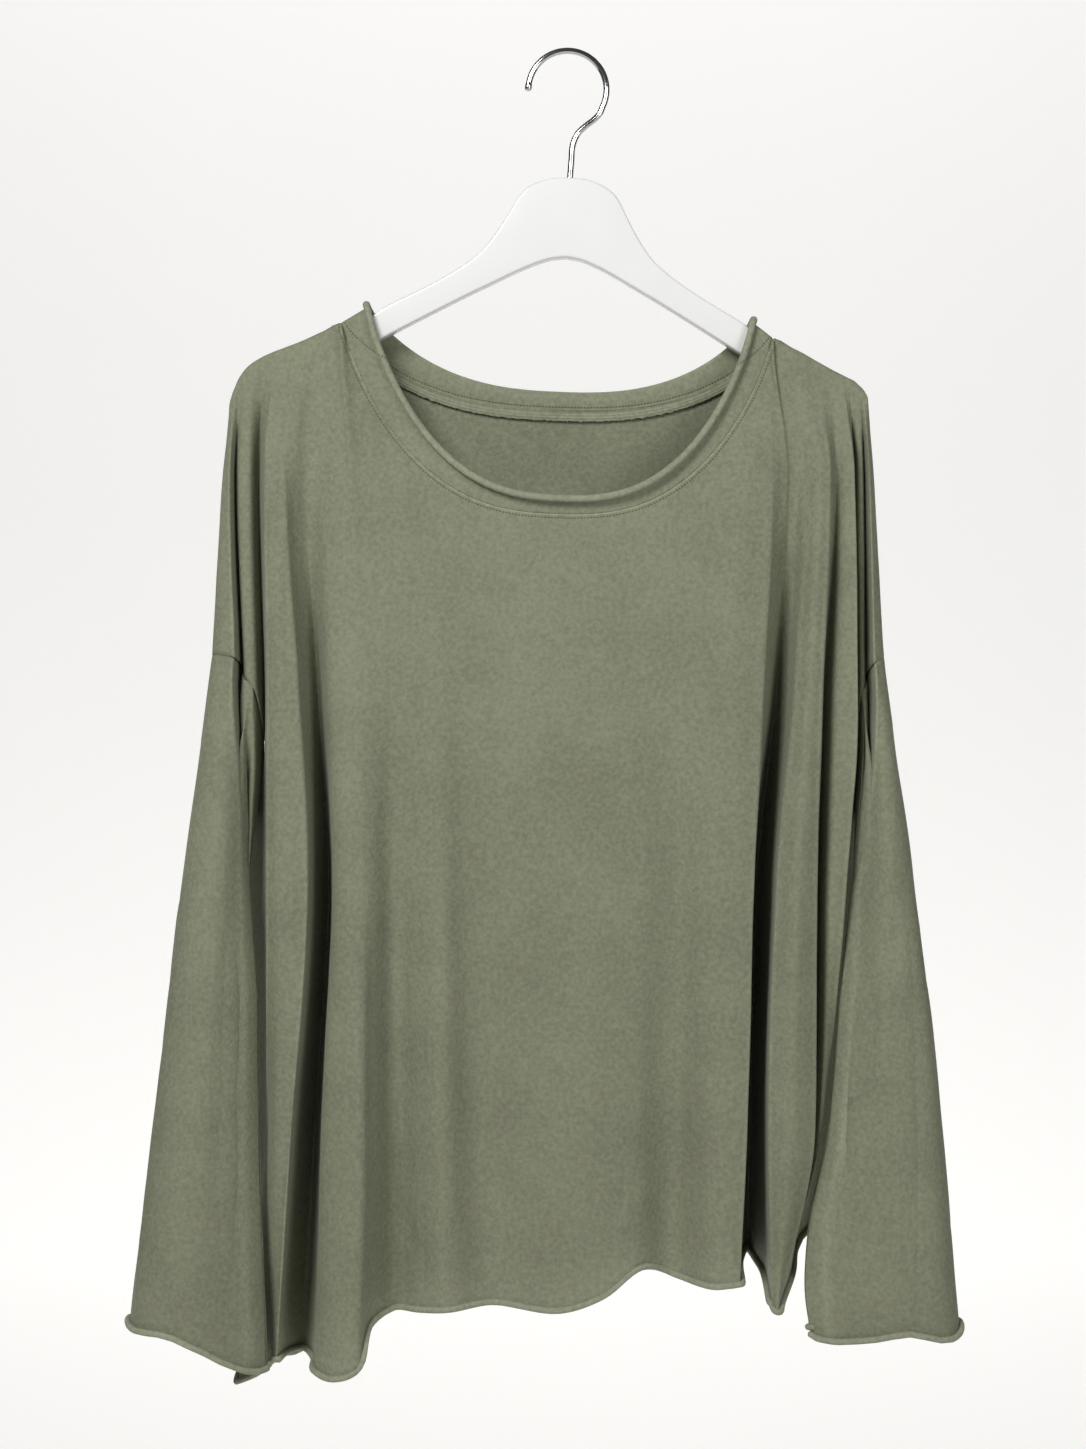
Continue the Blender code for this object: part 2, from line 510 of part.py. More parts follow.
def band_point(seam, edge, turn, across):
    """A point of the neckband: turn goes along the arc, across from the seam to the edge."""
    out = []
    for arc in (seam, edge):
        left_x, right_x = arc.left[0], arc.right[0]
        x = (left_x + right_x) / 2 - math.cos(turn) * (right_x - left_x) / 2
        z, share = arc_shape(arc, x)
        y = arc_depth(arc, share)
        stand = ROLL_STAND * min(abs(y) / over_arm(math.inf), 1.0) if arc is edge else 0.0
        out.append(np.array((x, y + math.copysign(stand, y), z)))
    return out[0] + (out[1] - out[0]) * across


def neckband_mesh():
    """A ring of cloth from the neck seam to its free edge, front half and then back half."""
    turns = []
    for seam, edge, steps, start in ((FRONT_SEAM, FRONT_EDGE, BAND_STEPS[0], 0.0),
                                     (BACK_SEAM, BACK_EDGE, BAND_STEPS[1], math.pi)):
        for k in range(steps):
            share = k / steps
            turn = math.pi * share - BAND_CROWDING * math.sin(2 * math.pi * share) / 2
            turns.append((seam, edge, turn if start == 0.0 else math.pi - turn))
    roll = [up / MM for up, _ in ROLL_ROWS]
    rows = []
    for k in range(BAND_ROWS + len(roll)):
        row = []
        for seam, edge, turn in turns:
            a, b = band_point(seam, edge, turn, 0.0), band_point(seam, edge, turn, 1.0)
            width = np.linalg.norm(b - a)
            if k < BAND_ROWS:
                share = k / BAND_ROWS * (1 - roll[0] / width)
            else:
                share = 1 - roll[k - BAND_ROWS] / width
            row.append(a + (b - a) * share)
        rows.append(row)
    return tube_mesh("neckband", rows, outward=False)


def hanger_frame(x, z):
    """From the hanger's own frame to the part's, both in mm."""
    c, s = math.cos(HANGER_TILT), math.sin(HANGER_TILT)
    return (HANGER_CENTRE[0] / MM + x * c + z * s, HANGER_CENTRE[1] / MM - x * s + z * c)


def build_hanger(mat, collection):
    """A flat plate along both arms with rounded edges, and a socket for the hook's stem."""
    stations = [s._replace(x=-s.x) for s in reversed(HANGER[1:])] + HANGER
    verts, faces = [], []
    for s in stations:
        for z in (s.top, s.bottom):
            px, pz = hanger_frame(s.x, z)
            verts.append(Vector((px, 0.0, pz)) * MM)
    for k in range(len(stations) - 1):
        faces.append((2 * k, 2 * k + 1, 2 * k + 3, 2 * k + 2))
    obj = bpy.data.objects.new("hanger", open_mesh("hanger", verts, faces))
    collection.objects.link(obj)
    solid = obj.modifiers.new("Thickness", 'SOLIDIFY')
    solid.thickness = HANGER_THICK
    solid.offset = 0.0
    edge = obj.modifiers.new("Rounded edges", 'BEVEL')
    edge.width = HANGER_EDGE
    edge.segments = 3
    edge.limit_method = 'ANGLE'
    edge.angle_limit = math.radians(50)
    obj.data.materials.append(mat)
    return obj


def cut_socket(hanger, cutters):
    """A blind hole in the hanger's crown, a little wider than the stem it takes."""
    stem_x, top_z = hanger_frame(HANGER[0].x, HANGER[0].top)
    bpy.ops.mesh.primitive_cylinder_add(
        vertices=SOCKET_SIDES, radius=WIRE / 2 + SOCKET_CLEAR, depth=2 * SOCKET_DEPTH,
        location=(stem_x * MM, 0.0, top_z * MM), rotation=(0.0, HANGER_TILT, 0.0))
    cutter = bpy.context.object
    cutter.name = "socket_cutter"
    for owner in list(cutter.users_collection):
        owner.objects.unlink(cutter)
    cutters.objects.link(cutter)
    cutter.hide_render = True
    cutter.display_type = 'WIRE'
    cut = hanger.modifiers.new("Socket", 'BOOLEAN')
    cut.operation = 'DIFFERENCE'
    cut.object = cutter


def build_hook(mat, collection):
    """Chrome wire: a stem in the hanger, a bend to the side and an open hook above it."""
    base = hanger_frame(HANGER[0].x, HANGER[0].top - (SOCKET_DEPTH - STEM_CLEAR) / MM)
    crown = hanger_frame(HANGER[0].x, HANGER[0].top)
    centre = (HOOK_CENTRE[0] / MM, HOOK_CENTRE[1] / MM)
    stem = [base, crown, *HOOK_STEM]
    start, end = HOOK_ARC
    for k in range(HOOK_STEPS + 1):
        turn = math.radians(start + (end - start) * k / HOOK_STEPS)
        radius = HOOK_RADIUS / MM
        stem.append((centre[0] + radius * math.cos(turn), centre[1] + radius * math.sin(turn)))
    path = through_points([(x, 0.0, z) for x, z in stem], 2)
    curve = bpy.data.curves.new("hook", 'CURVE')
    curve.dimensions = '3D'
    curve.bevel_depth = WIRE / 2
    curve.bevel_resolution = 2
    curve.use_fill_caps = True
    curve.render_resolution_u = 0
    spline = curve.splines.new('POLY')
    spline.points.add(len(path) - 1)
    for point, place in zip(spline.points, path):
        point.co = (*(Vector(place) * MM), 1.0)
    for back, swell in enumerate(HOOK_TIP):
        spline.points[-1 - back].radius = swell
    curve.materials.append(mat)
    obj = bpy.data.objects.new("hook", curve)
    collection.objects.link(obj)
    return obj


def main():
    clear_scene()
    collection = bpy.data.collections.new("Jersey top on a hanger")
    cutters = bpy.data.collections.new("Cutters")
    bpy.context.scene.collection.children.link(collection)
    bpy.context.scene.collection.children.link(cutters)
    jersey = material("Sage cotton jersey", (0.22, 0.24, 0.17), 0.9)
    plastic = material("Glossy white ABS", (0.83, 0.83, 0.81), 0.2)
    chrome = material("Chromed steel wire", (0.78, 0.78, 0.8), 0.12, metallic=1.0)

    panels = []
    for name, folds, arc, side in (("front", FRONT, FRONT_SEAM, -1), ("back", BACK, BACK_SEAM, 1)):
        rows, upper, skip = panel_rows(folds, arc, side)
        mesh, thick = panel_mesh(name, rows, upper, skip, side)
        cloth_object(name, mesh, thick, jersey, collection)
        panels.append((rows, upper, skip, folds))
    for name, sections, cuff, left in (("sleeve_left", LEFT_SLEEVE, LEFT_CUFF, True),
                                       ("sleeve_right", RIGHT_SLEEVE, RIGHT_CUFF, False)):
        mesh, thick = sleeve_mesh(name, armhole(panels, left), sections, cuff, left)
        cloth_object(name, mesh, thick, jersey, collection)
    mesh, thick = neckband_mesh()
    cloth_object("neckband", mesh, thick, jersey, collection)
    hanger = build_hanger(plastic, collection)
    cut_socket(hanger, cutters)
    build_hook(chrome, collection)


main()
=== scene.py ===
"""Looks of the long-sleeved jersey top on its hanger: washed sage jersey with rolled raw edges,
neck stitching, a moulded white hanger, a chromed wire hook and a pale studio around them.
"""

import math
from collections import namedtuple

import bpy
import numpy as np
from bpy.props import FloatProperty, FloatVectorProperty, IntProperty, PointerProperty
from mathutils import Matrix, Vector, noise
from mathutils.bvhtree import BVHTree


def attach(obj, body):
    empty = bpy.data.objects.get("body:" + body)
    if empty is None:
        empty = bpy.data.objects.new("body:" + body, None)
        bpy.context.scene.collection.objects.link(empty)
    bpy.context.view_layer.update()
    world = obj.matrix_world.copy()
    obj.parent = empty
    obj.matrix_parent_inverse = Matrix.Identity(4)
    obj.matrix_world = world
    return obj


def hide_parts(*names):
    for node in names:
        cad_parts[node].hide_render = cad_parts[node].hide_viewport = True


bl_info = {
    "name": "Jersey Top on a Hanger",
    "version": (1, 0, 0),
    "blender": (4, 5, 0),
    "location": "View3D > Sidebar > Jersey Top",
    "description": "Builds a hanging drop-shoulder jersey top, its hanger and a studio",
    "category": "Object",
}

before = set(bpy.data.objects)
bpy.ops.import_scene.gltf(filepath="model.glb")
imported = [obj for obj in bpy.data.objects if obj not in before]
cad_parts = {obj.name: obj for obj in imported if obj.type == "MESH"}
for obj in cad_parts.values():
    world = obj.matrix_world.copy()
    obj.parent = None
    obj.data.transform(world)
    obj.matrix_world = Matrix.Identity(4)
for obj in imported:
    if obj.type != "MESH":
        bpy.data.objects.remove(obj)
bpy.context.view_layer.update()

MM = 0.001
BODY = "root"
PHOTO_SIZE = (1086, 1449)
MM_PER_PIXEL = 0.715

# Neck: left and right ends on the shoulders, as x and z in mm, then the drop and y at the centre
NECK_POWERS = (2.6, 0.8)
NECK_GAP = 0.5
Arc = namedtuple("Arc", "left right drop_mm y_mm")
FRONT_SEAM = Arc((-162.0, -192.5), (144.5, -203.0), 133.8, -31.0)
FRONT_EDGE = Arc((-142.0, -180.5), (129.0, -191.0), 132.3, -30.0)
BACK_SEAM = Arc((-162.0, -192.5), (144.5, -203.0), 54.0, 22.0)
BACK_EDGE = Arc((-142.0, -180.5), (129.0, -191.0), 52.3, 20.0)
BAND_STEPS = (220, 150)
BAND_ROWS = 10
NECK_ROLL = 1.2               # radius of the neck's roll as a share of the hem's
BAND_SWELL = -0.9             # mm that the band bows outwards, here inwards, halfway across
BAND_STAND = 2.4              # mm that its free edge stands out in front and behind
BAND_SINK = 1.1               # mm that its sewn edge lies behind the panels' edge
BAND_WEAR = 0.15              # paling of the band at its free edge
BAND_ROLL_WEAR = 0.5
NECK_SLACK = 1.0              # mm past the neck's ends that still count as neck
NECK_LEAST_DROP = 1.5
NECK_DEPTH_POWER = 1.3
ARC_MARGIN = 0.04             # radians at each end of a neck seam without stitches

# Heights in mm where the fold tables give their places
CHEST_Z = -300.0
CHEST_REACH = 14.0            # a fold that starts nearer than this to the chest skips its chest place
WAIST_Z = -590.0
HIP_Z = -760.0
SHOULDER_ROLL = ((0.0, 0.25), (0.7, 4.2), (2.4, 6.9), (8.0, 7.9))   # drop, depth in mm
ROLL_DROPS = (0.0, 0.25, 0.7, 1.4, 2.4, 4.0, 6.0)
ARM_HEIGHT = 30.0             # mm of drop over which an arm stands behind the cloth
ARM_EASE = 18.0
PANEL_ROWS = (52, 84)         # rows above and below the armhole level
PANEL_CROWDING = 1.12         # over 1, the rows crowd towards the shoulder
SPAN_STEPS = 7                # faces from one fold line to the next
CRISP_STEPS = 3               # faces on each side of a crisp fold's edge
CRISP_REACH = 2.4             # mm on each side of a fold's edge that stays straight
CRISP_CUT = 0.3               # how far the edge draws in towards those lines
CRISP_FADE = 150.0            # mm over which a crisp fold becomes sharp
SOFT_SPAN = 0.33              # share of a span at which the lines beside a soft fold lie
CRISP_MARK = 0.12             # and the share of a span by which those lines are numbered
SLEEVE_ROWS = 110
SLEEVE_CROWDING = 1.08        # over 1, the rows crowd towards the armhole
SLEEVE_GAP = 0.5
SLEEVE_WEDGE = (0.22, 0.5)    # left and right: the nearer to 0, the blunter the sleeve's inner side
UNDERARM_SHIFT = 1.3
SEAM_GAP = 0.6
SEAM_TURN = 1.1               # mm that a sewn edge turns in, so that the seam shows as a groove
SEAM_LIP = 0.1                # mm that it first runs on
SHOULDER_LIP = (0.1, 0.05)    # mm that the shoulder seam's edges lean together and rise
LEAST_SPAN = 0.8              # share of its first face that an edge may draw in

# Rolled edges: rows in the roll, and how much its radius shrinks towards its end
CURL_ROWS = 18
CURL_TIGHTENING = 0.42

# Paling from 0 to 1: washing wear on rolls, just above them and on neck edges, and a painted highlight
# along the edges of crisp folds
ROLL_WEAR = 0.8
HEM_WEAR = 0.6
HEM_WEAR_POWER = 30
NECK_WEAR = 0.9
NECK_WEAR_ROWS = 3
# Painted highlight along the edges of crisp folds, from 0 to 1
FOLD_HIGHLIGHT = 0.4
FOLD_HIGHLIGHT_REACH = 0.09        # as a share of the way to the next fold line
SLEEVE_FOLD_HIGHLIGHT = (318, 7, 0.45)  # the sleeve's front fold: degrees, half width and the strength of its painted highlight

# Creases and waves: mm below the shoulder where they start and grow, and below the armhole
CREASE_START, CREASE_EASE = 4.0, 40.0
SLEEVE_CREASE_START, SLEEVE_CREASE_EASE = 1.0, 12.0
CREASE_TAPER = 0.6
Wave = namedtuple("Wave", "share across down")
WAVES = (Wave(0.75, 34.0, 95.0), Wave(0.3, 13.0, 30.0))

# The line of both shoulders, x and z in mm, from the left sleeve's seam to the right one's
SHOULDER = ((-243, -258), (-241, -247), (-237, -235), (-231, -226),
            (-223, -219), (-211, -213.5), (-190, -205.5), (-163, -193),
            (145, -203.5), (166, -214), (185, -225), (203, -234),
            (209.5, -240), (213.6, -247), (215.2, -256))

# One row for each fold line, from the left shoulder seam to the right one. In mm: x at the
# top edge, chest, armhole level, waist, hip and hem, then y from the chest down, then the
# height of the armhole level and of the hem. Sleeve folds stop at the armhole. A crisp fold
# also has the height below which its edge turns sharper.
Fold = namedtuple("Fold", "name x_top x_chest x_arm x_waist x_hip x_hem "
                          "y_chest y_arm y_waist y_hip y_hem z_arm z_hem crisp", defaults=(None,))


def arm_fold(name, x_top, x_chest, x_arm, y_chest, y_arm, z_arm, crisp=None):
    """A fold line that stops at the armhole, where the sleeve takes it on."""
    return Fold(name, x_top, x_chest, x_arm, None, None, None,
                y_chest, y_arm, None, None, None, z_arm, None, crisp)


FRONT = [
    arm_fold("shoulder seam", -242.4, -246.4, -254.3, -0.15, -0.15, -430),
    arm_fold("outer strip, side", -241.2, -245, -250.6, -13, -20, -430),
    arm_fold("outer strip, edge", -239.2, -240.4, -235.8, -20, -30, -432, -265),
    arm_fold("outer recess", -235.4, -237.6, -232.4, -4, -3, -438),
    arm_fold("inner strip, left", -230.6, -234, -228.4, -13, -20, -447),
    arm_fold("inner strip, right", -225.4, -227, -222, -15, -21, -456),
    Fold("side seam", -218, -221.4, -217, -235, -232, -238, -1.5, -1.2, 30, 38, 45, -492, -953),
    Fold("fold A, side", -214.5, -217.5, -214.4, -217, -218.5, -240, -14, -18, -3, 10, 41, -478, -957),
    Fold("fold A, left", -211, -214.6, -212.2, -212, -213.5, -240,
         -24, -33, -35, -20, 30, -468, -959, -265),
    Fold("fold A, face", -203, -207.5, -203, -202, -206, -221, -27, -38, -42, -38, 2, -455, -945),
    Fold("fold A, right", -193, -200.5, -190.5, -183, -194, -206.5,
         -26, -38, -43, -44, -26, -450, -928, -480),
    Fold("trough A to B, left", -188, -194.5, -186.5, -180, -191, -202.5,
         -22, -23, -12, -4, 0, -450, -929),
    Fold("trough A to B", -184, -186.5, -179, -173, -183, -191.5, -17, -6, 13, 20, 16, -450, -930),
    Fold("trough A to B, right", -180, -180, -173.5, -167.5, -175, -180.5,
         -17, -20, -14, -10, -10, -450, -931),
    Fold("fold B, left", -176, -174, -168.5, -165, -172, -177, -20, -32, -38, -40, -38, -450, -933),
    Fold("fold B, face", -168.5, -165, -159, -157, -160, -164, -25, -37.5, -45.5, -50, -52, -450, -935),
    Fold("fold B, crest", -163, -156, -149.5, -146, -145.5, -148.5,
         -28, -38.5, -46.5, -55, -55, -450, -929),
    Fold("fold B, step", -157.5, -147, -140, -137, -137, -141, -27.5, -38, -42, -43, -39, -450, -901),
    Fold("front, left hollow", -142, -131, -126, -124, -124, -124, -27.5, -36, -32, -23, -19, -450, -893),
    Fold("front, neck left", -121, -116, -111, -107, -105, -104, -27, -36, -37, -35, -34, -450, -891),
    Fold("front, left swell", -96, -98, -94, -90, -88, -86, -28, -38, -41, -43, -43, -450, -889),
    Fold("front, mid hollow", -58, -62, -74, -71, -64.5, -54, -30, -37, -34, -30, -28, -450, -887),
    Fold("front, centre", -8, -8, -8, -8, -8, -7, -31, -38, -41, -42, -41, -450, -890),
    Fold("front, right swell", 24, 24, 24, 24, 24, 24, -31, -38, -42, -44, -44, -450, -879),
    Fold("front, right turn", 44, 46, 47, 49, 49, 49.3, -30, -37.5, -41, -41, -39, -450, -860.5),
    Fold("front, right hollow", 66, 70, 75, 78, 76, 73, -29, -37, -35, -28, -20, -450, -868.5),
    Fold("front, last swell", 100, 104, 103, 102, 101, 100, -27, -38, -43, -47, -47, -450, -872),
    Fold("front, neck right", 124, 126, 120, 115, 112, 110, -26, -37, -45, -49, -49, -450, -871),
    Fold("front, right edge", 141, 143, 136, 128.5, 123.5, 118.5,
         -25, -35, -44, -48, -48, -450, -870, -440),
    Fold("deep recess, left", 142.5, 149, 140, 129, 124, 120.5, -22, -23, -12, -6, -4, -450, -863),
    Fold("deep recess", 146, 156, 149, 137, 132.5, 130, -18.5, 2, 30, 35, 34, -450, -861),
    Fold("deep recess, right", 150.5, 161.5, 155.5, 144, 138.5, 139.5, -18, -14, -10, -6, -4, -450, -870),
    Fold("fold 1, left", 155, 166.5, 158.5, 144.5, 138.5, 141, -20, -31, -41, -46, -46, -450, -883, -480),
    Fold("fold 1, face", 166, 176, 168, 158, 153, 144, -27, -39, -50, -54, -49, -450, -889),
    Fold("fold 1, right", 177, 183.5, 177, 172.3, 170.5, 146.5,
         -26, -37, -43, -45, -41, -452, -884, -300),
    Fold("recess 1 to 2", 188, 189, 181.5, 176.5, 173, 157, -16, -9, -10, -12, -14, -456, -868),
    Fold("fold 2, left", 191.5, 194.5, 188.5, 183, 177, 160, -20, -28, -32, -24, 4, -460, -858),
    Fold("fold 2, right", 196, 200.8, 202.2, 194.3, 179.5, 165, -23, -32, -32, -14, 14, -470, -850, -265),
    Fold("fold 2, side", 198.5, 202.4, 203.6, 192.5, 178.5, 172, -12, -14, -6, 6, 22, -484, -846),
    Fold("side seam", 200, 203.2, 204.8, 209, 195, 184, -1.5, -1.2, 26, 32, 30, -498, -838),
    arm_fold("inner strip, left", 203, 205.4, 206.2, -12, -18, -460),
    arm_fold("inner strip, right", 206.5, 208, 208.6, -12, -18, -452),
    arm_fold("inner recess", 208.8, 210.2, 211.2, -4, -7, -444),
    arm_fold("outer strip, edge", 210.4, 212.4, 214.4, -18, -29, -436, -265),
    arm_fold("outer strip, side", 212, 215.2, 221.4, -11, -20, -432),
    arm_fold("shoulder seam", 213.2, 217, 224.2, -0.15, -0.15, -430),
]

BACK = [
    arm_fold("shoulder seam", -242.4, -246.4, -254.3, 0.15, 0.15, -430),
    arm_fold("outer strip, side", -241, -245.4, -253, 14, 20, -430),
    arm_fold("outer strip, edge", -238, -238.5, -237, 21, 30, -433),
    arm_fold("outer recess", -232, -233.8, -230, 8, 13, -444),
    arm_fold("inner strip", -224, -226.5, -220.5, 17, 24, -458),
    Fold("side seam", -218, -221.4, -217, -235, -232, -238, 4.5, 1.2, 30, 38, 45, -492, -953),
    Fold("back fold 1", -208, -211, -206, -204, -209, -219, 22, 34, 46, 54, 62, -465, -948),
    Fold("back trough 1", -194, -195, -188, -184, -190, -197, 14, 18, 24, 28, 36, -455, -938),
    Fold("back fold 2", -178, -178, -170, -165, -166, -170, 25, 40, 54, 60, 60, -450, -930),
    Fold("back trough 2", -163, -155, -148, -143, -141, -143, 24, 32, 36, 40, 43, -450, -912),
    Fold("back, neck left", -158, -138, -130, -124, -121, -122, 24, 35, 41, 46, 48, -450, -906),
    Fold("back, left swell", -120, -112, -108, -102, -99, -98, 25, 37, 46, 51, 52, -450, -902),
    Fold("back, left hollow", -70, -68, -62, -58, -55, -54, 25, 34, 40, 43, 44, -450, -898),
    Fold("back, centre", -8, -8, -7, -6, -5, -4, 25, 36, 45, 50, 51, -450, -889),
    Fold("back, right hollow", 46, 46, 46, 47, 48, 48, 25, 34, 39, 42, 43, -450, -874),
    Fold("back, right swell", 96, 94, 92, 90, 88, 86, 25, 37, 48, 54, 55, -450, -870),
    Fold("back trough 3", 139.5, 132, 126, 120, 116, 112, 22, 30, 34, 36, 37, -450, -867),
    Fold("back, neck right", 146, 147, 140, 133, 129, 125, 24, 36, 44, 48, 48, -450, -865),
    Fold("back fold 3", 162, 161, 152, 145, 141, 138, 25, 40, 53, 59, 58, -450, -858),
    Fold("back trough 4", 178, 178, 172, 166, 162, 158, 14, 18, 24, 30, 34, -455, -850),
    Fold("back fold 4", 193, 194, 192, 187, 181, 176, 22, 34, 46, 52, 50, -465, -846),
    Fold("side seam", 200, 203.2, 204.8, 209, 195, 184, 4.5, 1.2, 26, 32, 30, -498, -838),
    arm_fold("inner strip", 205, 206.6, 207, 17, 24, -458),
    arm_fold("outer recess", 208.4, 210.2, 211.4, 7, 12, -444),
    arm_fold("outer strip, edge", 210.4, 212.8, 215, 20, 30, -434),
    arm_fold("outer strip, side", 212.2, 216, 222.2, 13, 21, -431),
    arm_fold("shoulder seam", 213.2, 217, 224.2, 0.15, 0.15, -430),
]

# Sleeve sections down to the cuff: height, then the sides, front and back, in mm
Section = namedtuple("Section", "z left right front back")
LEFT_SLEEVE = [Section(*row) for row in (
    (-430, -254.3, -214.6, -30, 30), (-500, -262.4, -215.2, -42, 24), (-545, -268, -220, -48, 19),
    (-590, -273.5, -225, -52, 14), (-680, -283.2, -219.5, -60, 8), (-760, -291.8, -217.8, -66, 4),
    (-830, -300.2, -215.8, -69, 2), (-915, -309.2, -212.5, -70, 2))]
RIGHT_SLEEVE = [Section(*row) for row in (
    (-430, 203.2, 224.8, -30, 30), (-500, 203, 232.5, -42, 24), (-545, 200.5, 238, -48, 19),
    (-590, 198.5, 243, -52, 14), (-680, 191, 253, -58, 6), (-760, 182.5, 260.5, -62, 0),
    (-830, 167.5, 266.6, -66, -2), (-870, 164.5, 269.6, -68, -2), (-915, 170, 273.4, -70, -2))]
# Height of each cuff by degrees round it: from the outer side over the front, underarm and back
LEFT_CUFF = ((0, -897), (35, -901), (60, -901), (72, -903), (86, -908), (100, -914), (113, -921),
             (125, -926), (137, -930), (154, -932), (180, -931), (225, -927),
             (270, -914), (315, -903), (360, -897))
RIGHT_CUFF = ((0, -900), (20, -905), (40, -907), (61, -903.5), (75, -901.5), (88, -903.5), (104, -907),
              (120, -909), (134, -910.5), (152, -910), (168, -907.5), (180, -904), (270, -900), (360, -900))
SLEEVE_BLEND = 170.0          # mm below the seam where the armhole's folds have eased out
# Degrees round the section, from the shoulder seam over the front, and over the back
SLEEVE_ANGLES = (184, 215, 318, 336, 350, 6, 22)
BACK_ANGLES = (176, 148, 92, 66, 46, 22)

# Soft creases, as seen from the front: the ends' x and z, the half width and the depth, in mm.
# A positive depth stands out of the cloth.
Crease = namedtuple("Crease", "x0 z0 x1 z1 width depth")
FRONT_CREASES = [Crease(*row) for row in (
    (-152, -330, -141, -640, 9, 1.2), (-121, -400, -118, -900, 11, -2),
    (-96, -310, -86, -720, 13, 1.8), (-92, -640, -89, -880, 12, 1.8), (-60, -500, -54, -885, 12, -1.8),
    (-24, -360, -22, -740, 14, 1.2), (10, -430, 12, -870, 15, 2),
    (40, -520, 44, -830, 10, -1.3), (62, -600, 60, -865, 13, -2.6),
    (92, -340, 92, -850, 10, 2), (74, -400, 78, -620, 8, -1),
    (118, -300, 110, -560, 8, 1), (-132, -795, -96, -868, 6, -1),
    (-44, -845, -8, -872, 7, -0.9), (30, -835, 60, -800, 9, 1.2),
    (-110, -295, -150, -345, 8, -0.7), (96, -290, 140, -350, 8, -0.7),
    (-70, -335, 40, -342, 10, 0.6), (-120, -268, -84, -318, 7, 0.5), (60, -322, 100, -276, 7, 0.5),
    (-200, -300, -206, -440, 4, 0.8), (172, -330, 168, -470, 5, 0.8), (-205, -500, -198, -700, 4, 0.8),
    (-196, -700, -202, -900, 5, -1), (158, -560, 152, -760, 4, 0.8), (-66, -700, -30, -740, 6, 0.7),
    (-34, -560, 10, -590, 7, -0.6), (70, -700, 96, -735, 6, 0.7), (-20, -770, 20, -800, 6, 0.6))]
BACK_CREASES = [Crease(*row) for row in (
    (-120, -330, -110, -800, 12, -1.8), (-84, -300, -78, -700, 12, 1.8), (-82, -600, -76, -880, 10, 1.4),
    (-34, -420, -30, -870, 13, -1.8), (20, -330, 20, -760, 13, 1.8),
    (66, -500, 66, -870, 11, -1.9), (112, -330, 104, -760, 9, 1.6),
    (-150, -420, -146, -700, 7, 1.1), (150, -400, 146, -640, 7, -1.1), (44, -360, 40, -560, 8, -0.9),
    (-60, -820, -20, -880, 8, -1), (-96, -262, -60, -300, 9, -0.7), (-10, -620, 24, -650, 7, 0.7),
    (60, -262, 96, -310, 9, -0.7), (-52, -300, 40, -306, 9, 0.6), (84, -700, 112, -760, 7, 0.8))]
LEFT_SLEEVE_CREASES = [Crease(*row) for row in (
    (-231.5, -464, -215, -487, 1, -0.9), (-231.5, -461.6, -215, -484.6, 0.8, 0.7),
    (-237, -450, -259, -800, 7, 3), (-252, -490, -276, -800, 10, -3), (-256, -700, -266, -900, 8, 1.2),
    (-284, -700, -296, -880, 8, -1.2),
    (-236, -620, -240, -880, 7, -1.3), (-250, -760, -258, -915, 7, 0.9),
    (-246, -436, -250, -486, 3, 0.8), (-240, -440, -241, -470, 2, -0.6),
    (-296, -840, -268, -905, 6, -1.2), (-286, -860, -262, -872, 4, 0.6))]
RIGHT_SLEEVE_CREASES = [Crease(*row) for row in (
    (217, -440, 222, -640, 4, 1.4), (226, -480, 240, -720, 6, -1.4),
    (222, -540, 217, -890, 7, 2.6), (232, -580, 234, -905, 8, -3.2), (250, -660, 254, -905, 9, 1.5),
    (196, -620, 184, -860, 5, 1.4),
    (208, -640, 198, -880, 6, -1.4), (244, -890, 262, -897, 4, 1.2), (246, -884, 260, -888, 3, -0.8),
    (250, -828, 268, -832, 3, -0.6), (214, -446, 220, -500, 2, -0.5))]

# Neck seam inside the back: the raw, overlocked allowance and the rows of stitches above it
ALLOWANCE_WIDTH = 7.8
ALLOWANCE_REST = 0.5          # mm that it stands off the back at the seam
ALLOWANCE_STAND = 1.6         # and how much further at its raw edge
ALLOWANCE_WAVE = 0.5
ALLOWANCE_FRAY = 0.9
ALLOWANCE_RIDGES = (0.4, 0.66)
ALLOWANCE_STEPS = (14, 420)   # faces across the allowance, and places along it
ALLOWANCE_TOP = 0.4           # mm below the seam where it starts
ALLOWANCE_WALL = 0.7
RIDGE_RISE, RIDGE_REACH = 0.55, 0.07
STITCH_WIDTH = 1.1
STITCH_SHARE = 0.72           # a stitch's length as a share of the pitch
STITCH_SINK = 0.05            # mm that a stitch lies in the cloth
STITCH_OUT = 2.2              # mm from the neck seam to the stitches on the panels
STITCH_IN = -2.0              # and to those on the band
# Section of a stitch, side and rise, and its swelling along its length
STITCH_SECTION = ((-1.0, -0.3), (-0.62, 0.62), (0.0, 0.95), (0.62, 0.62), (1.0, -0.3))
STITCH_ALONG = ((-0.5, 0.05), (-0.36, 0.75), (0.0, 1.0), (0.36, 0.75), (0.5, 0.05))

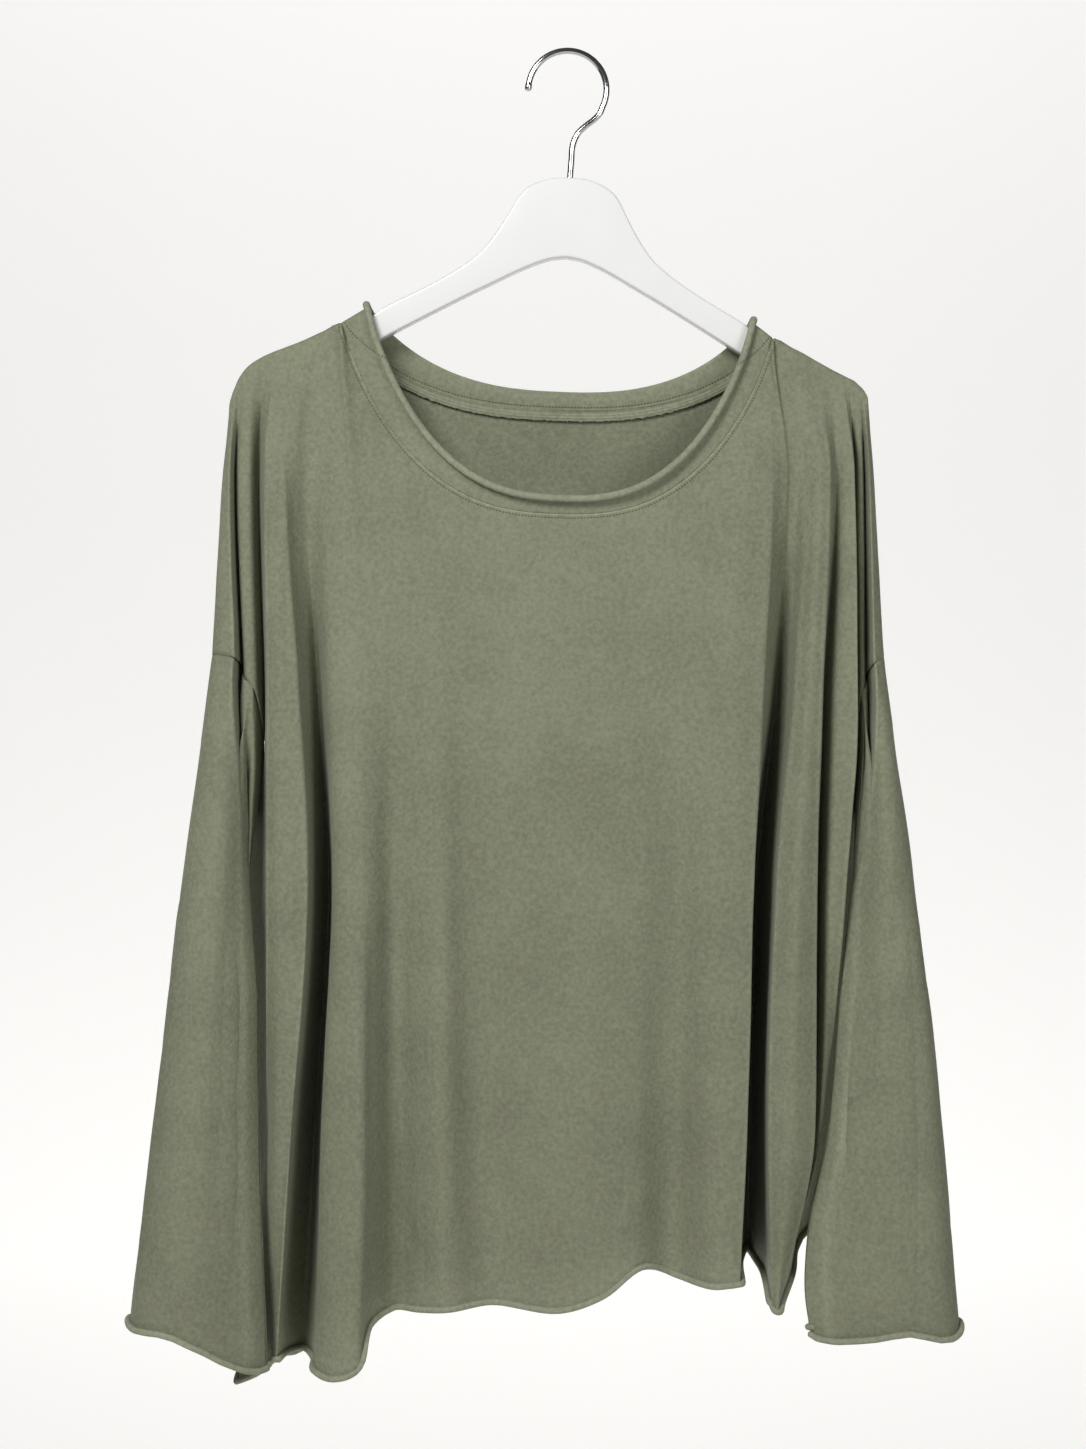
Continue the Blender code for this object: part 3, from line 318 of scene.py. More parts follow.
# Hanger, in its own frame before it tilts
HANGER_TILT = math.radians(2.6)
HANGER_CENTRE = (-0.6, -116.7)
HANGER_THICK = 12.0
HANGER_EDGE = 2.6
HANGER_STATIONS = 90
HANGER_CROWDING = 0.8         # under 1, the stations crowd towards the arm's end
HANGER_BEVEL_STEPS = 5
HangerStation = namedtuple("HangerStation", "x top bottom")
HANGER = [HangerStation(*row) for row in (
    (0, 27.4, -29.5), (10, 26.9, -30.9), (18, 25, -33.6), (26, 21.6, -37),
    (32, 17.2, -39.9), (36.5, 11.2, -42.2), (41, 2.8, -44.5), (45, -4.4, -46.8),
    (50, -12.8, -49.4), (55, -20.2, -52.2), (61, -27.8, -55.3), (70, -35.8, -60.2),
    (90, -49.5, -71.4), (110, -60.8, -82.8), (128, -70.8, -93.1), (146, -84.6, -103),
    (162, -95, -112), (185, -104.6, -124), (203, -112.4, -131), (209, -115.6, -132.5),
    (213.5, -119, -131), (216.5, -123, -127))]

# Hook
WIRE = 4.5
HOOK_RADIUS = 27.9
HOOK_CENTRE = (-1.1, -HOOK_RADIUS + WIRE / 2)
HOOK_ARC = (-25, 171)         # degrees, from the stem's side over the top to the tip
SOCKET_DEPTH = 12.0
HOOK_STEPS = 6                # faces from one place on the stem to the next
HOOK_ARC_STEPS = 56
HOOK_STEM = ((1.7, -76), (2.5, -66), (5.8, -57.8), (11.4, -52), (17.4, -47.4), (22, -42.6))
# The rounded tip: reach of each step along the wire in mm, and the wire's swelling there
HOOK_TIP = ((0.5, 1.07), (0.5, 1.12), (2.4, 1.12), (0.8, 1.02), (0.6, 0.85), (0.4, 0.6),
            (0.15, 0.3))

# Camera as in the photograph: distance in metres, place in mm
CAMERA_DISTANCE = 1.75
CAMERA_X = -18.6
CAMERA_Z = -479.4

# Cove, in metres
COVE_FRONT, COVE_REAR, COVE_RADIUS = -4.2, 3.8, 0.5
COVE_WIDTH = 12.0
COVE_HEIGHT = 3.4             # of the straight wall above the curve
COVE_STEPS = 12
FLOOR_Z = -2.3

# Studio lights: place and target in metres, width, height and power in watts
Lamp = namedtuple("Lamp", "name place target width height power")
LAMPS = (
    Lamp("softbox_left", (-1.0, -1.7, 0.85), (0.0, 0.0, -0.4), 0.8, 0.8, 41.0),
    Lamp("softbox_right", (1.2, -1.65, 0.0), (0.0, 0.0, -0.4), 0.8, 1.1, 12.5),
    Lamp("wall_wash_high", (0.0, 2.6, 2.6), (0.0, 4.3, 0.6), 5.0, 0.6, 46.0),
    Lamp("wall_wash_low", (0.0, 2.6, -2.1), (0.0, 4.3, -1.2), 5.0, 0.4, 24.0),
)
WORLD_FILL = 0.05             # the room's own light on the garment
WORLD_SEEN = 0.9              # and its brightness in the camera


def linear(hex_colour):
    """A linear colour from an sRGB hex value."""
    channels = [int(hex_colour[i:i + 2], 16) / 255 for i in (1, 3, 5)]
    return [c / 12.92 if c <= 0.04045 else ((c + 0.055) / 1.055) ** 2.4 for c in channels]


class JerseyTopSizes(bpy.types.PropertyGroup):
    """Sizes that can change without a new frame."""
    wall: FloatProperty(
        name="Cloth thickness", description="Thickness of the jersey",
        default=1.1 * MM, min=0.0005, max=0.003, unit='LENGTH')
    roll_radius: FloatProperty(
        name="Roll radius", description="Outer radius of the rolled raw edges, at the cloth's middle",
        default=2.0 * MM, min=0.001, max=0.004, unit='LENGTH')
    roll_turn: FloatProperty(
        name="Roll turn", description="How far round a raw edge has rolled",
        default=math.radians(430), subtype='ANGLE')
    waviness: FloatProperty(
        name="Waviness", description="Height of the small uneven waves over all the cloth",
        default=0.75 * MM, min=0.0, max=0.003, unit='LENGTH')
    stitch_pitch: FloatProperty(
        name="Stitch pitch", description="Distance from one neck stitch to the next",
        default=2.3 * MM, min=0.001, max=0.005, unit='LENGTH')
    hook_sides: IntProperty(
        name="Wire smoothness", description="Steps in a quarter of the wire's round section",
        default=6, min=2, max=12)


class JerseyTopColours(bpy.types.PropertyGroup):
    """Colours of the finishes, linear."""
    jersey: FloatVectorProperty(
        name="Jersey", description="Garment-dyed cloth", subtype='COLOR', default=linear("#878A73"))
    # Paler jersey: washing wear on rolled edges, and painted highlight along fold lines
    jersey_worn_and_highlight: FloatVectorProperty(
        name="Jersey, worn", description="Where washing has paled the rolled edges and fold lines",
        subtype='COLOR', default=linear("#A0A38C"))
    hanger: FloatVectorProperty(
        name="Hanger", description="Moulded white", subtype='COLOR', default=linear("#F0F0EE"))
    chrome: FloatVectorProperty(
        name="Hook", description="Chrome plate", subtype='COLOR', default=linear("#D4D4D6"))
    backdrop: FloatVectorProperty(
        name="Backdrop", description="Pale floor and wall", subtype='COLOR', default=linear("#C4C3C1"))


def sizes():
    return bpy.context.scene.jersey_top_sizes


def colours():
    return bpy.context.scene.jersey_top_colours


# Curves and tables

def smooth_table(knots, values, at):
    """Monotone cubic through a short table, so that no value overshoots between rows."""
    knots = np.asarray(knots, float)
    values = np.asarray(values, float)
    if knots[0] > knots[-1]:
        knots, values = knots[::-1], values[::-1]
    step = np.diff(knots)
    slope = np.diff(values) / step
    tangent = np.zeros(len(knots))
    for i in range(1, len(knots) - 1):
        if slope[i - 1] * slope[i] > 0:
            w1 = 2 * step[i] + step[i - 1]
            w2 = step[i] + 2 * step[i - 1]
            tangent[i] = (w1 + w2) / (w1 / slope[i - 1] + w2 / slope[i])
    tangent[0], tangent[-1] = slope[0], slope[-1]
    at = np.clip(np.asarray(at, float), knots[0], knots[-1])
    i = np.clip(np.searchsorted(knots, at, side="right") - 1, 0, len(step) - 1)
    t = (at - knots[i]) / step[i]
    return ((2 * t**3 - 3 * t**2 + 1) * values[i] + (t**3 - 2 * t**2 + t) * step[i] * tangent[i]
            + (3 * t**2 - 2 * t**3) * values[i + 1] + (t**3 - t**2) * step[i] * tangent[i + 1])


def length_of(steps):
    return np.linalg.norm(steps, axis=-1, keepdims=True)


def across_lines(lines, steps):
    """Centripetal spline across lines of points; steps gives the faces in each span."""
    lines = np.asarray(lines, float)
    first = 2 * lines[0] - lines[1]
    last = 2 * lines[-1] - lines[-2]
    padded = np.concatenate([first[None], lines, last[None]])
    out = []
    for s, count in enumerate(steps):
        p = padded[s:s + 4]
        t = [np.zeros_like(p[0][..., :1])]
        for a, b in zip(p, p[1:]):
            t.append(t[-1] + np.maximum(length_of(b - a), 1e-6) ** 0.5)
        for k in range(count):
            u = t[1] + (t[2] - t[1]) * k / count
            a1 = ((t[1] - u) * p[0] + (u - t[0]) * p[1]) / (t[1] - t[0])
            a2 = ((t[2] - u) * p[1] + (u - t[1]) * p[2]) / (t[2] - t[1])
            a3 = ((t[3] - u) * p[2] + (u - t[2]) * p[3]) / (t[3] - t[2])
            b1 = ((t[2] - u) * a1 + (u - t[0]) * a2) / (t[2] - t[0])
            b2 = ((t[3] - u) * a2 + (u - t[1]) * a3) / (t[3] - t[1])
            out.append(((t[2] - u) * b1 + (u - t[1]) * b2) / (t[2] - t[1]))
    out.append(lines[-1])
    return np.array(out)


def eased(share):
    share = np.clip(share, 0.0, 1.0)
    return share * share * (3 - 2 * share)


# Forms shared with the frame

def arc_shape(arc, x, grow=0.0):
    """Height and share of the drop on a neck arc at x, in mm."""
    (left_x, left_z), (right_x, right_z) = arc.left, arc.right
    middle = (left_x + right_x) / 2
    half = (right_x - left_x) / 2 + grow
    across = np.minimum(np.abs((x - middle) / half), 1.0)
    share = (1 - across ** NECK_POWERS[0]) ** NECK_POWERS[1]
    chord = left_z + (right_z - left_z) * (x - left_x) / (right_x - left_x)
    return chord - (arc.drop_mm + grow) * share, share


def over_arm(drop):
    """How far the cloth stands out where it has passed over an arm and dropped by this much."""
    drops, depths = zip(*SHOULDER_ROLL)
    return smooth_table(drops, depths, np.clip(drop, 0.0, drops[-1]))


def arc_depth(arc, share):
    side = math.copysign(1.0, arc.y_mm)
    start = over_arm(share * arc.drop_mm)
    return side * (start + (abs(arc.y_mm) - start) * share ** NECK_DEPTH_POWER)


def shoulder_z(x):
    xs, zs = zip(*SHOULDER)
    return np.interp(x, xs, zs)


def arm_clearance(x, z):
    """Least depth at which points of a panel pass the hanger's arm."""
    drop = shoulder_z(x) - z
    ease = eased((drop - ARM_HEIGHT) / ARM_EASE)
    return np.where(ease < 1, over_arm(drop) * (1 - ease), -np.inf)


def on_neck(x, arc):
    """Whether x meets the neck seam below the shoulder, with the seam's height and share there."""
    z, share = arc_shape(arc, x, grow=NECK_GAP)
    inside = (arc.left[0] - NECK_SLACK < x) & (x < arc.right[0] + NECK_SLACK)
    inside &= z < shoulder_z(x) - NECK_LEAST_DROP
    return inside, z, share


def fold_line(fold, arc, side):
    """Points down one fold line, in mm, and how many of them lie above the armhole."""
    neck, z_neck, share = on_neck(fold.x_top, arc)
    z_top = float(z_neck if neck else shoulder_z(fold.x_top))
    start = float(arc_depth(arc, share)) if neck else side * SHOULDER_ROLL[0][1]
    knots = [(z_top, fold.x_top, start)]
    seam_line = fold.name == "shoulder seam"
    if not neck and not seam_line:
        knots += [(z_top - drop, fold.x_top, side * depth) for drop, depth in SHOULDER_ROLL[1:]]
    if z_top > CHEST_Z + CHEST_REACH:
        knots.append((CHEST_Z, fold.x_chest, fold.y_chest))
    knots.append((fold.z_arm, fold.x_arm, fold.y_arm))
    whole = fold.x_hem is not None
    if whole:
        knots += [(WAIST_Z, fold.x_waist, fold.y_waist), (HIP_Z, fold.x_hip, fold.y_hip),
                  (fold.z_hem, fold.x_hem, fold.y_hem)]
    zs, xs, ys = zip(*knots)
    top = [z_top - drop for drop in ROLL_DROPS]
    rest = np.linspace(0, 1, PANEL_ROWS[0] + 1) ** PANEL_CROWDING
    first = z_top - SHOULDER_ROLL[-1][0]
    rows = np.concatenate([top, first + (fold.z_arm - first) * rest])
    upper = len(rows)
    if whole:
        last = fold.z_hem + sizes().roll_radius / MM
        below = np.arange(1, PANEL_ROWS[1] + 1) / PANEL_ROWS[1]
        rows = np.concatenate([rows, fold.z_arm + (last - fold.z_arm) * below])
    x = smooth_table(zs, xs, rows)
    y = smooth_table(zs, ys, rows)
    if not seam_line:
        y = side * np.maximum(side * y, arm_clearance(x, rows))
    return np.column_stack([x, y, rows]), upper


def sharp(fold, z):
    """How sharp a fold has become at a height: soft at the shoulder, crisp further down."""
    return eased((fold.crisp - z) / CRISP_FADE)


def crisped(lines, folds):
    """Add a line on each side of every crisp fold, so that its edge turns sharply."""
    out, marks, steps = [], [], []
    for i, (line, fold) in enumerate(zip(lines, folds)):
        if not fold.crisp:
            out.append(line)
            marks.append(float(i))
            continue
        sides = []
        for j in (i - 1, i + 1):
            gap = lines[j] - line
            close = np.minimum(CRISP_REACH / length_of(gap), SOFT_SPAN)
            sides.append(line + gap * (SOFT_SPAN + (close - SOFT_SPAN) * sharp(fold, line[:, 2:])))
        cut = CRISP_CUT * ((sides[0] - line) + (sides[1] - line)) / 2 * sharp(fold, line[:, 2:])
        out += [sides[0], line + cut, sides[1]]
        marks += [i - CRISP_MARK, float(i), i + CRISP_MARK]
    for a, b in zip(marks, marks[1:]):
        steps.append(CRISP_STEPS if b - a < 2 * CRISP_MARK else SPAN_STEPS)
    return out, marks, steps


def column_marks(marks, steps):
    """The fold index at each column."""
    out = []
    for (a, b), count in zip(zip(marks, marks[1:]), steps):
        out += [a + (b - a) * k / count for k in range(count)]
    return np.array(out + [marks[-1]])


def pull_apart(grid, distance):
    """Shorten the rows at both ends, so that the panels' edges meet with a gap."""
    for end, inner in ((0, 1), (-1, -2)):
        along = grid[:, inner] - grid[:, end]
        grid[:, end] += along * np.minimum(distance / length_of(along), LEAST_SPAN)


def panel_grids(folds, arc, side):
    """The panel above the armholes and the body below them, as grids of points in mm."""
    lines = [fold_line(fold, arc, side) for fold in folds]
    upper = lines[0][1]
    tops = [line[:upper] for line, _ in lines]
    body = [i for i, fold in enumerate(folds) if fold.x_hem is not None]
    top_lines, top_marks, top_steps = crisped(tops, folds)
    top = across_lines(top_lines, top_steps).transpose(1, 0, 2)
    marks = column_marks(top_marks, top_steps)
    low_lines, _, low_steps = crisped([lines[i][0] for i in body], [folds[i] for i in body])
    low = across_lines(low_lines, low_steps).transpose(1, 0, 2)[upper:]
    pull_apart(low, SEAM_GAP / 2)
    fit_neck(top, arc)
    skip = int(np.argmin(np.abs(marks - body[0])))
    return top, low, skip, marks


def fit_neck(top, arc):
    """Bring the top row onto the neck seam's true curve, and ease that away further down."""
    x, y, z = top[0].T
    inside, neck_z, share = on_neck(x, arc)
    shift = np.zeros_like(top[0])
    shift[:, 1] = np.where(inside, arc_depth(arc, share) - y, 0.0)
    shift[:, 2] = np.where(inside, neck_z - z, 0.0)
    fade = (1 - np.arange(len(top)) / len(top)) ** 2
    top += shift[None] * fade[:, None, None]


# Cloth surfaces

def grid_normals(grid, closed=False):
    """Unit normals of a grid whose rows run down and whose columns run across."""
    down = np.gradient(grid, axis=0)
    if closed:
        across = (np.roll(grid, -1, axis=1) - np.roll(grid, 1, axis=1)) / 2
    else:
        across = np.gradient(grid, axis=1)
    normal = np.cross(down, across)
    return normal / np.maximum(length_of(normal), 1e-9)


def crease_depth(points, creases):
    """Height of the creases at each point, in mm."""
    x, z = points[..., 0], points[..., 2]
    total = np.zeros_like(x)
    for c in creases:
        along = np.array((c.x1 - c.x0, c.z1 - c.z0))
        span = np.linalg.norm(along)
        along = along / span
        s = ((x - c.x0) * along[0] + (z - c.z0) * along[1]) / span
        off = (x - c.x0) * -along[1] + (z - c.z0) * along[0]
        taper = np.sin(np.pi * np.clip(s, 0, 1)) ** CREASE_TAPER
        total += c.depth * taper * np.exp(-(off / c.width) ** 2)
    return total


def uneven(points, seed):
    """Low waves as a washed cloth has them, longer down the cloth than across, from -1 to 1."""
    flat = points.reshape(-1, 3)
    out = np.zeros(len(flat))
    for i, (x, y, z) in enumerate(flat):
        for wave in WAVES:
            place = Vector((x / wave.across, y / wave.across + seed, z / wave.down))
            out[i] += wave.share * noise.noise(place)
    return out.reshape(points.shape[:-1])


def curl(last, down, normal, fullness=1.0):
    """Rows of a raw edge that rolls outwards and inwards on itself, in mm."""
    radius = sizes().roll_radius / MM * fullness
    turn = sizes().roll_turn
    rows = []
    point = last.copy()
    for k in range(CURL_ROWS):
        angle = turn * (k + 0.5) / CURL_ROWS
        r = radius * (1 - CURL_TIGHTENING * (k + 0.5) / CURL_ROWS)
        point = point + (down * math.cos(angle) + normal * math.sin(angle)) * r * turn / CURL_ROWS
        rows.append(point)
    return np.array(rows)


def edge_frame(grid, normals):
    """Direction out of a grid's last row along the cloth, and its normal, both of unit length."""
    down = grid[-1] - grid[-2]
    down /= np.maximum(length_of(down), 1e-9)
    normal = normals[-1] - down * (normals[-1] * down).sum(-1, keepdims=True)
    return down, normal / np.maximum(length_of(normal), 1e-9)


class Sheet:
    """Vertices, faces and paling of one piece of jersey while it is put together: washing wear, and painted
    highlight along crisp folds.
    """

    def __init__(self):
        self.points, self.faces, self.wear_and_highlight = [], [], []
        self.count = 0

    def add(self, grid, wear_and_highlight=0.0):
        """Add a grid of points in mm and return their numbers."""
        rows, columns = grid.shape[:2]
        ids = np.arange(self.count, self.count + rows * columns).reshape(rows, columns)
        self.points.append(grid.reshape(-1, 3))
        self.wear_and_highlight.append(np.broadcast_to(wear_and_highlight, (rows, columns)).reshape(-1))
        self.count += rows * columns
        return ids

    def join(self, ids, closed=False, flip=False):
        """Faces between neighbouring rows of numbers."""
        if closed:
            ids = np.concatenate([ids, ids[:, :1]], axis=1)
        quads = np.stack([ids[:-1, :-1], ids[1:, :-1], ids[1:, 1:], ids[:-1, 1:]], axis=-1)
        quads = quads.reshape(-1, 4)
        self.faces.append(quads[:, ::-1] if flip else quads)

    def build(self, name, material):
        """Make the object, with its wall as a live Solidify."""
        points = np.concatenate(self.points) * MM
        faces = np.concatenate(self.faces)
        mesh = bpy.data.meshes.new(name)
        mesh.from_pydata(points.tolist(), [], faces.tolist())
        mesh.validate()
        wear_and_highlight = mesh.attributes.new("wear_and_highlight", 'FLOAT', 'POINT')
        wear_and_highlight.data.foreach_set("value", np.concatenate(self.wear_and_highlight).astype(np.float32))
        mesh.materials.append(material)
        mesh.shade_smooth()
        obj = bpy.data.objects.new(name, mesh)
        bpy.context.scene.collection.objects.link(obj)
        wall = obj.modifiers.new("Wall", 'SOLIDIFY')
        wall.thickness = sizes().wall
        wall.offset = 0.0
        wall.use_quality_normals = True
        return obj


def turned_in(edge, inner, normal, reach, depth):
    """One more row at a sewn edge, on past it and turned into the garment."""
    out = edge - inner
    out /= np.maximum(length_of(out), 1e-9)
    return edge + out * reach - normal * depth


def fold_highlight(marks, folds, grid):
    """Painted highlight: paler cloth along the edges of the crisp folds of a grid."""
    painted_highlight = np.zeros(grid.shape[:2])
    for i, fold in enumerate(folds):
        if fold.crisp:
            near = np.exp(-((marks - i) / FOLD_HIGHLIGHT_REACH) ** 2)
            painted_highlight = np.maximum(painted_highlight, near * sharp(fold, grid[..., 2]))
    return painted_highlight * FOLD_HIGHLIGHT


def shape_panel(folds, arc, side, creases, seed):
    """The finished grids of a front or a back, in mm."""
    top, low, skip, marks = panel_grids(folds, arc, side)
    columns = low.shape[1]
    body = np.concatenate([top[:, skip:skip + columns], low])
    top_normal = -side * grid_normals(top)
    low_normal = -side * grid_normals(body)[len(top):]
    waves = sizes().waviness / MM
    for grid, normal in ((top, top_normal), (low, low_normal)):
        clear = eased((shoulder_z(grid[..., 0]) - grid[..., 2] - CREASE_START) / CREASE_EASE)
        rise = crease_depth(grid, creases) + waves * uneven(grid, seed)
        grid += normal * (rise * clear)[..., None]
    return top, low, skip, marks


def build_panel(name, folds, arc, side, creases, seed, material):
    top, low, skip, marks = shape_panel(folds, arc, side, creases, seed)
    columns = low.shape[1]
    top_normal = -side * grid_normals(top)
    low_normal = -side * grid_normals(np.concatenate([top[-1:, skip:skip + columns], low]))[1:]
    sheet = Sheet()
    lip = turned_in(top[0], top[1], top_normal[0], SEAM_LIP, SEAM_TURN)
    neck, _, _ = on_neck(top[0][:, 0], arc)
    shoulder_lip = top[0] + np.array((0, -side * SHOULDER_LIP[0], SHOULDER_LIP[1]))
    lip = np.where(neck[:, None], lip, shoulder_lip)
    whole_top = np.concatenate([lip[None], top])
    # Crisp folds get a painted highlight, and the neck's edge gets washing wear
    top_wear_and_highlight = fold_highlight(marks, folds, whole_top)
    top_wear_and_highlight[:NECK_WEAR_ROWS] = np.where(neck, NECK_WEAR, top_wear_and_highlight[:NECK_WEAR_ROWS])
    top_ids = sheet.add(whole_top, top_wear_and_highlight)
    sheet.join(top_ids, flip=side > 0)
    down, normal = edge_frame(low, low_normal)
    rolled = curl(low[-1], down, normal)
    low_highlight = fold_highlight(marks[skip:skip + columns], folds, low)
    ramp = np.linspace(0, 1, len(low))[:, None] ** HEM_WEAR_POWER
    low_ids = sheet.add(low, np.maximum(low_highlight, ramp * HEM_WEAR))
    roll_ids = sheet.add(rolled, ROLL_WEAR)
    body_ids = np.concatenate([top_ids[-1:, skip:skip + columns], low_ids, roll_ids])
    sheet.join(body_ids, flip=side > 0)
    return sheet.build(name, material), (top, skip, marks, columns)


def ring_half(panel, folds, angles, left):
    """One panel's share of an armhole in order from the shoulder seam, with an angle for each point."""
    top, skip, marks, columns = panel
    edge = top[-1]
    if left:
        points, places = edge[:skip + 1], marks[:skip + 1]
    else:
        last = skip + columns - 1
        points, places = edge[last:][::-1], (len(folds) - 1) - marks[last:][::-1]
    turn = np.interp(places, range(len(angles)), angles)
    return points, turn


def sleeve_grid(front, back, sections, cuff, left, creases, seed):
    """A tube that starts as the armhole's folded ring and eases into the sleeve's sections."""
    front_points, front_turn = ring_half(front, FRONT, SLEEVE_ANGLES, left)
    back_points, back_turn = ring_half(back, BACK, BACK_ANGLES, left)
    ring = np.concatenate([front_points, back_points[::-1][1:]])
    turn = np.radians(np.concatenate([front_turn, back_turn[::-1][1:]]))
    sign = 1.0 if left else -1.0
    cos, sin = np.cos(turn) * sign, np.sin(turn)
    reach = np.maximum(0.0, np.cos(turn)) ** 2
    ring = ring + np.column_stack([-sign * UNDERARM_SHIFT * reach, np.zeros_like(reach), -reach])
    zs = [s.z for s in sections]
    around = np.degrees(np.arctan2(-sin, -np.cos(turn))) % 360
    z_cuff = smooth_table([row[0] for row in cuff], [row[1] for row in cuff], around)
    z_seam = ring[:, 2] - SLEEVE_GAP
    z_last = z_cuff + sizes().roll_radius / MM
    share = (np.linspace(0, 1, SLEEVE_ROWS) ** SLEEVE_CROWDING)[:, None]
    z = z_seam + (z_last - z_seam) * share
    tables = [[getattr(s, f) for s in sections] for f in ("left", "right", "front", "back")]
    x0, x1, y0, y1 = [smooth_table(zs, table, z) for table in tables]
    left0, right0, front0, back0 = [smooth_table(zs, table, z_seam) for table in tables]
    middle = ((x0 + x1) / 2, (y0 + y1) / 2)
    wedge = ((1 - np.cos(turn)) / 2) ** SLEEVE_WEDGE[0 if left else 1]
    oval = (middle[0] + (x1 - x0) / 2 * cos, middle[1] + (y1 - y0) / 2 * sin * wedge)
    fall = (z_seam - z) / SLEEVE_BLEND
    ease = eased(fall)
    hung_x = x0 + (ring[:, 0] - left0) * (x1 - x0) / (right0 - left0)
    hung_y = y0 + (ring[:, 1] - front0) * (y1 - y0) / (back0 - front0)
    grid = np.stack([hung_x + (oval[0] - hung_x) * ease, hung_y + (oval[1] - hung_y) * ease, z], axis=-1)
    normal = sign * grid_normals(grid, closed=True)
    rise = crease_depth(grid, creases) + sizes().waviness / MM * uneven(grid, seed)
    clear = eased((z_seam - z - SLEEVE_CREASE_START) / SLEEVE_CREASE_EASE)
    grid += normal * (rise * clear)[..., None]
    return grid, turn


def build_sleeve(name, front, back, sections, cuff, left, creases, seed, material):
    grid, turn = sleeve_grid(front, back, sections, cuff, left, creases, seed)
    sign = 1.0 if left else -1.0
    normal = sign * grid_normals(grid, closed=True)
    sheet = Sheet()
    lip = turned_in(grid[0], grid[1], normal[0], SEAM_LIP, SEAM_TURN)
    # The sleeve's crisp front fold is drawn paler: a painted highlight along its edge
    place, reach, painted_highlight = SLEEVE_FOLD_HIGHLIGHT
    crisp = np.exp(-(((np.degrees(turn) - place) / reach) ** 2)) * painted_highlight
    ids = sheet.add(np.concatenate([lip[None], grid]), crisp)
    down, out = edge_frame(grid, normal)
    roll_ids = sheet.add(curl(grid[-1], down, out), ROLL_WEAR)
    sheet.join(np.concatenate([ids, roll_ids]), closed=True, flip=not left)
    return sheet.build(name, material)


def band_row(seam, edge, turn, across):
    """Points of the neckband; turn goes along the arc, across from the seam to the edge."""
    ends = []
    for arc in (seam, edge):
        left_x, right_x = arc.left[0], arc.right[0]
        x = (left_x + right_x) / 2 - np.cos(turn) * (right_x - left_x) / 2
        z, share = arc_shape(arc, x)
        ends.append(np.column_stack([x, arc_depth(arc, share), z]))
    width = length_of(ends[1] - ends[0])
    inner = 1 - sizes().roll_radius / MM / width
    return ends[0] + (ends[1] - ends[0]) * (across * inner)


def band_grid():
    """A ring of cloth from the neck seam to its free edge, front half and then back half."""
    turns = []
    for steps in BAND_STEPS:
        share = np.arange(steps) / steps
        turns.append(np.pi * (share - 0.5 * np.sin(2 * np.pi * share) / (2 * np.pi)))
    rows = []
    for k in range(BAND_ROWS + 1):
        across = k / BAND_ROWS
        front = band_row(FRONT_SEAM, FRONT_EDGE, turns[0], across)
        back = band_row(BACK_SEAM, BACK_EDGE, np.pi - turns[1], across)
        swell = BAND_SWELL * math.sin(math.pi * across)
        swell += BAND_STAND * across**2 - BAND_SINK * (1 - across) ** 3
        front[:, 1] -= swell * np.sin(turns[0])
        back[:, 1] += swell * np.sin(turns[1])
        rows.append(np.concatenate([front, back]))
    return np.array(rows)


def build_neckband(material):
    grid = band_grid()
    normal = -grid_normals(grid, closed=True)
    sheet = Sheet()
    lip = turned_in(grid[0], grid[1], normal[0], SEAM_LIP, SEAM_TURN)
    wear_and_highlight = np.linspace(0.0, BAND_WEAR, BAND_ROWS + 2)[:, None]
    ids = sheet.add(np.concatenate([lip[None], grid]), wear_and_highlight)
    down, out = edge_frame(grid, normal)
    roll_ids = sheet.add(curl(grid[-1], down, out, NECK_ROLL), BAND_ROLL_WEAR)
    sheet.join(np.concatenate([ids, roll_ids]), closed=True, flip=True)
    return sheet.build("neckband_jersey", material)


# Materials

def add_node(tree, kind, values=None, links=None, **settings):
    """A node with its properties, socket values and incoming links."""
    made = tree.nodes.new(kind)
    for key, value in settings.items():
        setattr(made, key, value)
    for socket, value in (values or {}).items():
        made.inputs[socket].default_value = value
    for socket, source in (links or {}).items():
        tree.links.new(source, made.inputs[socket])
    return made


def new_material(name):
    """A material with a bare Principled shader, and that shader."""
    mat = bpy.data.materials.new(name)
    mat.use_nodes = True
    return mat, mat.node_tree, mat.node_tree.nodes["Principled BSDF"]


def own_coords(tree):
    """Places on the piece, in metres."""
    return add_node(tree, "ShaderNodeTexCoord").outputs["Object"]


def mapped(tree, value, low, high, start=0.0, end=1.0):
    """A value that runs from start to end, as one from low to high."""
    reach = {"From Min": start, "From Max": end, "To Min": low, "To Max": high}
    return add_node(tree, "ShaderNodeMapRange", reach, {"Value": value}).outputs[0]


def tint(tree, shader, colour, tone):
    """Give the shader a plain colour times a tone that varies."""
    toned = add_node(tree, "ShaderNodeVectorMath", {0: colour}, {1: tone}, operation='MULTIPLY')
    tree.links.new(toned.outputs[0], shader.inputs["Base Color"])


def set_shader(shader, **values):
    """Uniform values on the shader's own sockets; an underline stands for a space."""
    for name, value in values.items():
        shader.inputs[name.replace("_", " ")].default_value = value


def scaled_noise(tree, coords, feature_mm, detail=2.0, **settings):
    """Noise whose features are about this many mm across."""
    return add_node(tree, "ShaderNodeTexNoise",
                    {"Scale": 1.0 / (feature_mm * MM), "Detail": detail}, {"Vector": coords}, **settings)


